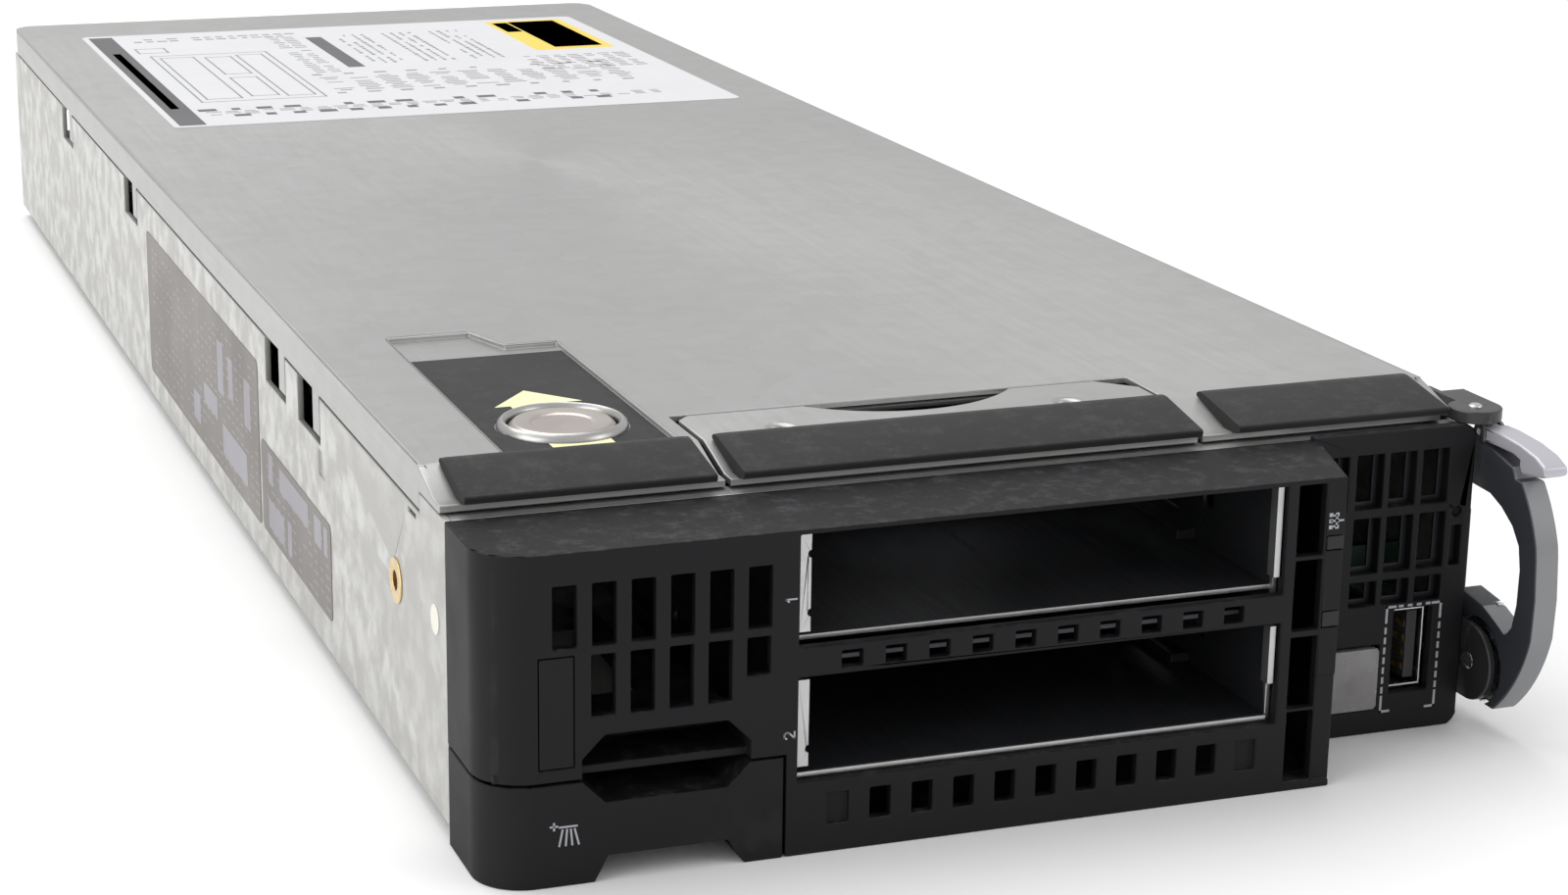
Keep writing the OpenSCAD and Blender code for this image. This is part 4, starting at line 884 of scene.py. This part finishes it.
leverSteps = 3
refineAll({
    "lever_bracket": ("leverBracket", "bracketPaint", 0.25),
    "lever_pin": ("leverPin", "brightSteel", 0.2),
    "lever_cam": ("leverCam", "brightSteel", 0.15),
    "lever_spring": ("leverSpring", "springSteel", 0.0),
    "lever_release": ("leverRelease", "leverSilver", 0.45),
    "release_pin": ("releasePin", "brightSteel", 0.1),
}, leverSteps)
# painted light: the grip's front-facing faces get a lighter copy of its paint
gripLook = {"edge": 0.4, "litFacing": -0.3, "sideFacing": 0.5}
gripPiece = refined("lever_grip", "leverGrip", "leverPaint", gripLook["edge"], leverSteps)
tint(gripPiece, "leverPaintLit", lambda centre, normal: (
    normal.y < gripLook["litFacing"] and abs(normal.x) < gripLook["sideFacing"]))
print("lever done")

# the arrow behind the latch ring and the bar before it, both cut to the ring
arrowLook = {
    "tip": 22.6, "wings": 13.6, "wide": 7.5, "stem": 4.8, "bar": 5.1, "barStart": 0.6, "gap": 0.1,
    "reach": 26, "barReach": 28, "turnStep": 4, "sink": 0.02, "thick": 0.05,
}
latchLow, latchHigh = span("latch_ring")
latchX = middle(latchLow.x, latchHigh.x)
latchY = middle(latchLow.y, latchHigh.y)
plateLow, plateHigh = span("latch_plate")


def ringArc(degrees, side):
    # points just outside the ring, towards the rear (1) or the front (-1)
    radius = (latchHigh.x - latchLow.x) / 2 + arrowLook["gap"]
    turns = [math.radians(turn) for turn in range(-degrees, degrees + 1, arrowLook["turnStep"])]
    return [(latchX + radius * math.sin(turn), latchY + side * radius * math.cos(turn)) for turn in turns]


wingsY = latchY + arrowLook["wings"]
barY = plateLow.y + arrowLook["barStart"]
printZ = plateHigh.z - arrowLook["sink"]
prism("latchArrow", [
    (latchX, latchY + arrowLook["tip"]),
    (latchX - arrowLook["wide"], wingsY), (latchX - arrowLook["stem"], wingsY),
    *ringArc(arrowLook["reach"], 1),
    (latchX + arrowLook["stem"], wingsY), (latchX + arrowLook["wide"], wingsY),
], "z", printZ, arrowLook["thick"], "paleYellow", "latch_plate")
prism("latchBar", [
    (latchX - arrowLook["bar"], barY),
    *ringArc(arrowLook["barReach"], -1),
    (latchX + arrowLook["bar"], barY),
], "z", printZ, arrowLook["thick"], "paleYellow", "latch_plate")

labelLow, labelHigh = span("hood_label")
labelLong = labelHigh.y - labelLow.y
labelLook = {
    "sink": 0.02, "patch": 0.045, "ink": 0.03, "drawing": 0.04, "line": 0.5,
    "shortest": (0.45, 0.8, 1), "keptShare": 0.85, "firstSeed": 2,
}
# place on the label, width, depth and finish
labelPatches = {
    "labelStrip": (1.6, 2.0, 6.6, labelLong - 5, "darkPrint"),
    "labelStripLines": (3.6, 26.0, 2.2, labelLong - 60, "greyPrint"),
    "labelYellow": (118.0, 92.0, 23.0, 56.0, "strongYellow"),
    "labelYellowWhite": (119.5, 127.0, 4.5, 18.0, "whiteFilm"),
    "labelYellowBlack": (124.5, 96.0, 14.0, 50.0, "darkPrint"),
    "labelDarkBar": (61.0, 78.0, 4.6, 56.0, "darkPrint"),
}
for name, (x, y, width, depth, finishName) in labelPatches.items():
    outline = rectangle(labelLow.x + x, labelLow.y + y, width, depth)
    prism(name, outline, "z", labelHigh.z - labelLook["sink"], labelLook["patch"], finishName, "hood_label")
# place on the label, column step, row step, columns, rows, block and finish
labelRows = {
    "labelTitle": ((14, 143), (3.4, 0), (0, -4), 14, 2, (2.9, 1.8), "softPrint"),
    "labelNotesOne": ((70, 84), (0, 3.6), (2.6, 0), 15, 4, (1.1, 3.1), "softPrint"),
    "labelNotesTwo": ((84, 84), (0, 3.6), (2.6, 0), 15, 4, (1.1, 3.1), "softPrint"),
    "labelNotesThree": ((98, 84), (0, 3.6), (2.6, 0), 15, 4, (1.1, 3.1), "softPrint"),
    "labelKeys": ((12, 22), (7.2, 0), (0, -9), 15, 2, (4.8, 3.4), "darkPrint"),
    "labelCaptions": ((13, 15), (4.6, 0), (0, 1.9), 26, 3, (4.0, 1.0), "softPrint"),
    "labelRowsOne": ((52, 42), (7.6, 0), (0, 2.6), 11, 9, (6.4, 1.2), "softPrint"),
    "labelRowsTwo": ((112, 60), (4.4, 0), (0, 2.7), 7, 9, (3.9, 1.2), "softPrint"),
    "labelMarks": ((50, 38), (8.6, 0), (0, 30), 10, 2, (4.0, 2.0), "greyPrint"),
    "labelGridOne": ((52, 72), (4.2, 0), (0, 3.2), 2, 21, (3.6, 1.3), "softPrint"),
}
for seed, (name, row) in enumerate(labelRows.items(), labelLook["firstSeed"]):
    (x, y), columnStep, rowStep, columns, rows, block, finishName = row
    start = (labelLow.x + x, labelLow.y + y, labelHigh.z)
    blockRows(name, start, (*columnStep, 0), (*rowStep, 0), columns, rows, (*block, labelLook["ink"]),
              finishName, "hood_label", labelLook["shortest"], labelLook["keptShare"], seed)
# place on the label, width and depth of each frame in the drawing
drawnFrames = (
    (13, 34, 32, 78), (15, 38, 9, 70), (27, 40, 7, 30), (27, 76, 7, 30), (36, 38, 7, 70), (11, 118, 8, 8),
)
boardDrawing = []
for x, y, width, depth in drawnFrames:
    outline = rectangle(labelLow.x + x, labelLow.y + y, width, depth)
    boardDrawing.append([*outline, outline[0]])
strokes("labelDrawing", boardDrawing, "z", labelHigh.z - labelLook["sink"], labelLook["drawing"],
        labelLook["line"], "softPrint", "hood_label")

sideLook = {
    "rise": 0.03, "thick": 0.05, "start": (3, 1.6), "step": (4.6, 2.0), "room": (4.8, 2.1),
    "line": (3.9, 0.6), "shortest": (1, 0.5, 0.8), "keptShare": 0.62, "seed": 11,
}
# each block's place and size as shares of its label
sideBlocks = {
    "sideFront": ("side_label_front", [
        (0.12, 0.62, 0.1, 0.3), (0.3, 0.66, 0.42, 0.26), (0.82, 0.6, 0.07, 0.34),
        (0.55, 0.1, 0.06, 0.36), (0.66, 0.1, 0.24, 0.32), (0.04, 0.62, 0.05, 0.3),
    ]),
    "sideRear": ("side_label_rear", [
        (0.1, 0.12, 0.2, 0.2), (0.34, 0.3, 0.12, 0.14), (0.5, 0.1, 0.06, 0.2),
        (0.06, 0.5, 0.05, 0.3), (0.2, 0.55, 0.04, 0.26), (0.28, 0.5, 0.05, 0.34),
    ]),
}
for name, (nodeName, blocks) in sideBlocks.items():
    sideLow, sideHigh = span(nodeName)
    long = sideHigh.y - sideLow.y
    tall = sideHigh.z - sideLow.z
    for index, (y, z, width, height) in enumerate(blocks):
        outline = rectangle(sideLow.y + y * long, sideLow.z + z * tall, width * long, height * tall)
        prism(f"{name}Block{index}", outline, "x", sideLow.x - sideLook["rise"], sideLook["thick"],
              "greyPrint", nodeName)
    start = (sideLow.x, sideLow.y + sideLook["start"][0], sideLow.z + sideLook["start"][1])
    blockRows(f"{name}Lines", start, (0, sideLook["step"][0], 0), (0, 0, sideLook["step"][1]),
              int(long / sideLook["room"][0]), int(tall / sideLook["room"][1]),
              (sideLook["thick"], *sideLook["line"]), "faintPrint", nodeName, sideLook["shortest"],
              sideLook["keptShare"], sideLook["seed"])
print("print on labels done")

# foam wrapped in cloth: rounded along its length, slightly uneven, with bare ends
gasketLook = {
    "step": 0.9, "wobble": 0.05, "round": 0.55, "roundSteps": 4, "longEdge": 0.01, "firmShare": 0.35,
    "waves": (310, 127, 240), "endReach": 0.05, "endDrop": 0.12, "endFacing": 0.9, "smooth": 35,
}


def gasketPiece(nodeName, pieceName):
    mesh, shape = joined(nodeName, pieceName)
    along = [e for e in shape.edges if abs(e.verts[0].co.x - e.verts[1].co.x) > gasketLook["longEdge"]]
    bmesh.ops.bevel(shape, geom=along, offset=gasketLook["round"] * mm, segments=gasketLook["roundSteps"],
                    affect="EDGES", profile=0.5)
    lowX = min(v.co.x for v in shape.verts)
    highX = max(v.co.x for v in shape.verts)
    count = int((highX - lowX) / mm / gasketLook["step"])
    for index in range(1, count):
        cut = (lowX + (highX - lowX) * index / count, 0, 0)
        geometry = shape.verts[:] + shape.edges[:] + shape.faces[:]
        bmesh.ops.bisect_plane(shape, geom=geometry, plane_co=cut, plane_no=(1, 0, 0))
    top = max(v.co.z for v in shape.verts)
    bottom = min(v.co.z for v in shape.verts)
    firstWave, secondWave, slantWave = gasketLook["waves"]
    for vertex in shape.verts:
        x, y, z = vertex.co
        share = max(0.0, (z - bottom) / (top - bottom) - gasketLook["firmShare"])
        wave = middle(math.sin(x * firstWave), math.sin(x * secondWave + y * slantWave))
        vertex.co.z -= abs(wave) * gasketLook["wobble"] * share * mm
        if min(x - lowX, highX - x) / mm < gasketLook["endReach"]:
            vertex.co.z -= gasketLook["endDrop"] * share * mm
    shape.to_mesh(mesh)
    shape.free()
    mesh.materials.append(finishes["gasketCloth"])
    mesh.materials.append(finishes["gasketFoam"])
    for polygon in mesh.polygons:
        if abs(polygon.normal.x) > gasketLook["endFacing"]:
            polygon.material_index = 1
    smoothByAngle(mesh, gasketLook["smooth"])
    piece = carried(link(bpy.data.objects.new(pieceName, mesh)), nodeName, True)


for side in ("left", "centre", "right"):
    gasketPiece(f"gasket_{side}", f"gasket{side.title()}")
print("gaskets done")

boardLook = {"edge": 0.12, "steps": 1}
boardPieces = {
    "drive_backplane": ("driveBackplane", "boardGreen"),
    "drive_connectors": ("driveConnectors", "connectorBlack"),
    "system_board": ("systemBoard", "boardGreen"),
    "board_standoffs": ("boardStandoffs", "brightSteel"),
    "board_screws": ("boardScrews", "brightSteel"),
    "processor_sockets": ("processorSockets", "brightSteel"),
    "heatsink_front": ("heatsinkFront", "finAluminium"),
    "heatsink_rear": ("heatsinkRear", "finAluminium"),
    "heatsink_screws": ("heatsinkScrews", "brightSteel"),
    "memory_sockets": ("memorySockets", "connectorBlack"),
    "memory_modules": ("memoryModules", "boardGreen"),
    "air_baffle": ("airBaffle", "bafflePlastic"),
    "mezzanine_sockets": ("mezzanineSockets", "connectorBlack"),
    "mezzanine_cards": ("mezzanineCards", "boardGreen"),
    "storage_controller": ("storageController", "boardGreen"),
    "coin_battery": ("coinBattery", "brightSteel"),
    "signal_connectors": ("signalConnectors", "connectorPale"),
    "power_connector": ("powerConnector", "connectorBlack"),
    "guide_sockets": ("guideSockets", "guidePlastic"),
}
for nodeName, (pieceName, finishName) in boardPieces.items():
    refined(nodeName, pieceName, finishName, boardLook["edge"], boardLook["steps"])
signalLook = {
    "left": 3.9, "right": 40.1, "back": 6.0, "above": 3.6, "columnStep": (4, 0, 0), "rowStep": (0, 0, 3.8),
    "count": (10, 6), "size": (1.5, 11.0, 0.5),
}
signalLow, signalHigh = span("signal_connectors")
signalStarts = {
    "signalContactsLeft": signalLow.x + signalLook["left"],
    "signalContactsRight": signalHigh.x - signalLook["right"],
}
for name, x in signalStarts.items():
    start = (x, signalHigh.y - signalLook["back"], signalLow.z + signalLook["above"])
    blockRows(name, start, signalLook["columnStep"], signalLook["rowStep"], *signalLook["count"],
              signalLook["size"], "goldContact", "signal_connectors")
print("boards done")

floorLook = {"half": 4, "colour": (0.9, 0.9, 0.9, 1), "roughness": 0.7}
floorMesh = bpy.data.meshes.new("studioFloor")
half = floorLook["half"]
floorCorners = [(x, y, 0) for x, y in rectangle(-half, -half, 2 * half, 2 * half)]
floorMesh.from_pydata(floorCorners, [], [(0, 1, 2, 3)])
floor = link(bpy.data.objects.new("studioFloor", floorMesh))
floor.location.z = cadLow.z
floorPaint = bpy.data.materials.new("paleFloor")
floorPaint.use_nodes = True
floorShader = floorPaint.node_tree.nodes["Principled BSDF"]
floorShader.inputs["Base Color"].default_value = floorLook["colour"]
floorShader.inputs["Roughness"].default_value = floorLook["roughness"]
floorMesh.materials.append(floorPaint)

skyLook = {"colour": (1, 1, 1, 1), "strength": 0.72}
world = bpy.data.worlds.new("studio")
bpy.context.scene.world = world
world.use_nodes = True
sky = world.node_tree.nodes["Background"]
sky.inputs["Color"].default_value = skyLook["colour"]
sky.inputs["Strength"].default_value = skyLook["strength"]

lights = {
    "topPanel": {"place": (-0.3, 0.5, 1.5), "aim": (0, 0.05, 0), "size": 1.6, "power": 18},
    "leftPanel": {"place": (-1.5, -0.5, 0.7), "aim": (0, 0, 0), "size": 1.2, "power": 10},
    "rightPanel": {"place": (1.2, -1.1, 0.8), "aim": (0.05, -0.2, 0), "size": 0.8, "power": 4},
}
for name, values in lights.items():
    lamp = bpy.data.lights.new(name, "AREA")
    lamp.shape = "SQUARE"
    lamp.size = values["size"]
    lamp.energy = values["power"]
    holder = link(bpy.data.objects.new(name, lamp))
    holder.location = values["place"]
    beam = Vector(values["aim"]) - Vector(values["place"])
    holder.rotation_euler = beam.to_track_quat("-Z", "Y").to_euler()

view = {
    "place": (-0.2008, -0.6679, 0.19), "forward": (0.3031, 0.9119, -0.2764), "roll": 0.003, "lens": 71.7,
    "shiftX": 0.084, "shiftY": 0.0026, "nearest": 0.01,
}
lens = bpy.data.cameras.new("studioCamera")
lens.lens = view["lens"]
lens.shift_x = view["shiftX"]
lens.shift_y = view["shiftY"]
lens.clip_start = view["nearest"]
camera = link(bpy.data.objects.new("studioCamera", lens))
camera.location = view["place"]
aim = Vector(view["forward"]).to_track_quat("-Z", "Y").to_matrix()
camera.rotation_euler = (aim @ Matrix.Rotation(view["roll"], 3, "Z")).to_euler()
bpy.context.scene.camera = camera
bpy.context.scene.view_settings.view_transform = "Standard"

print("scene ready")
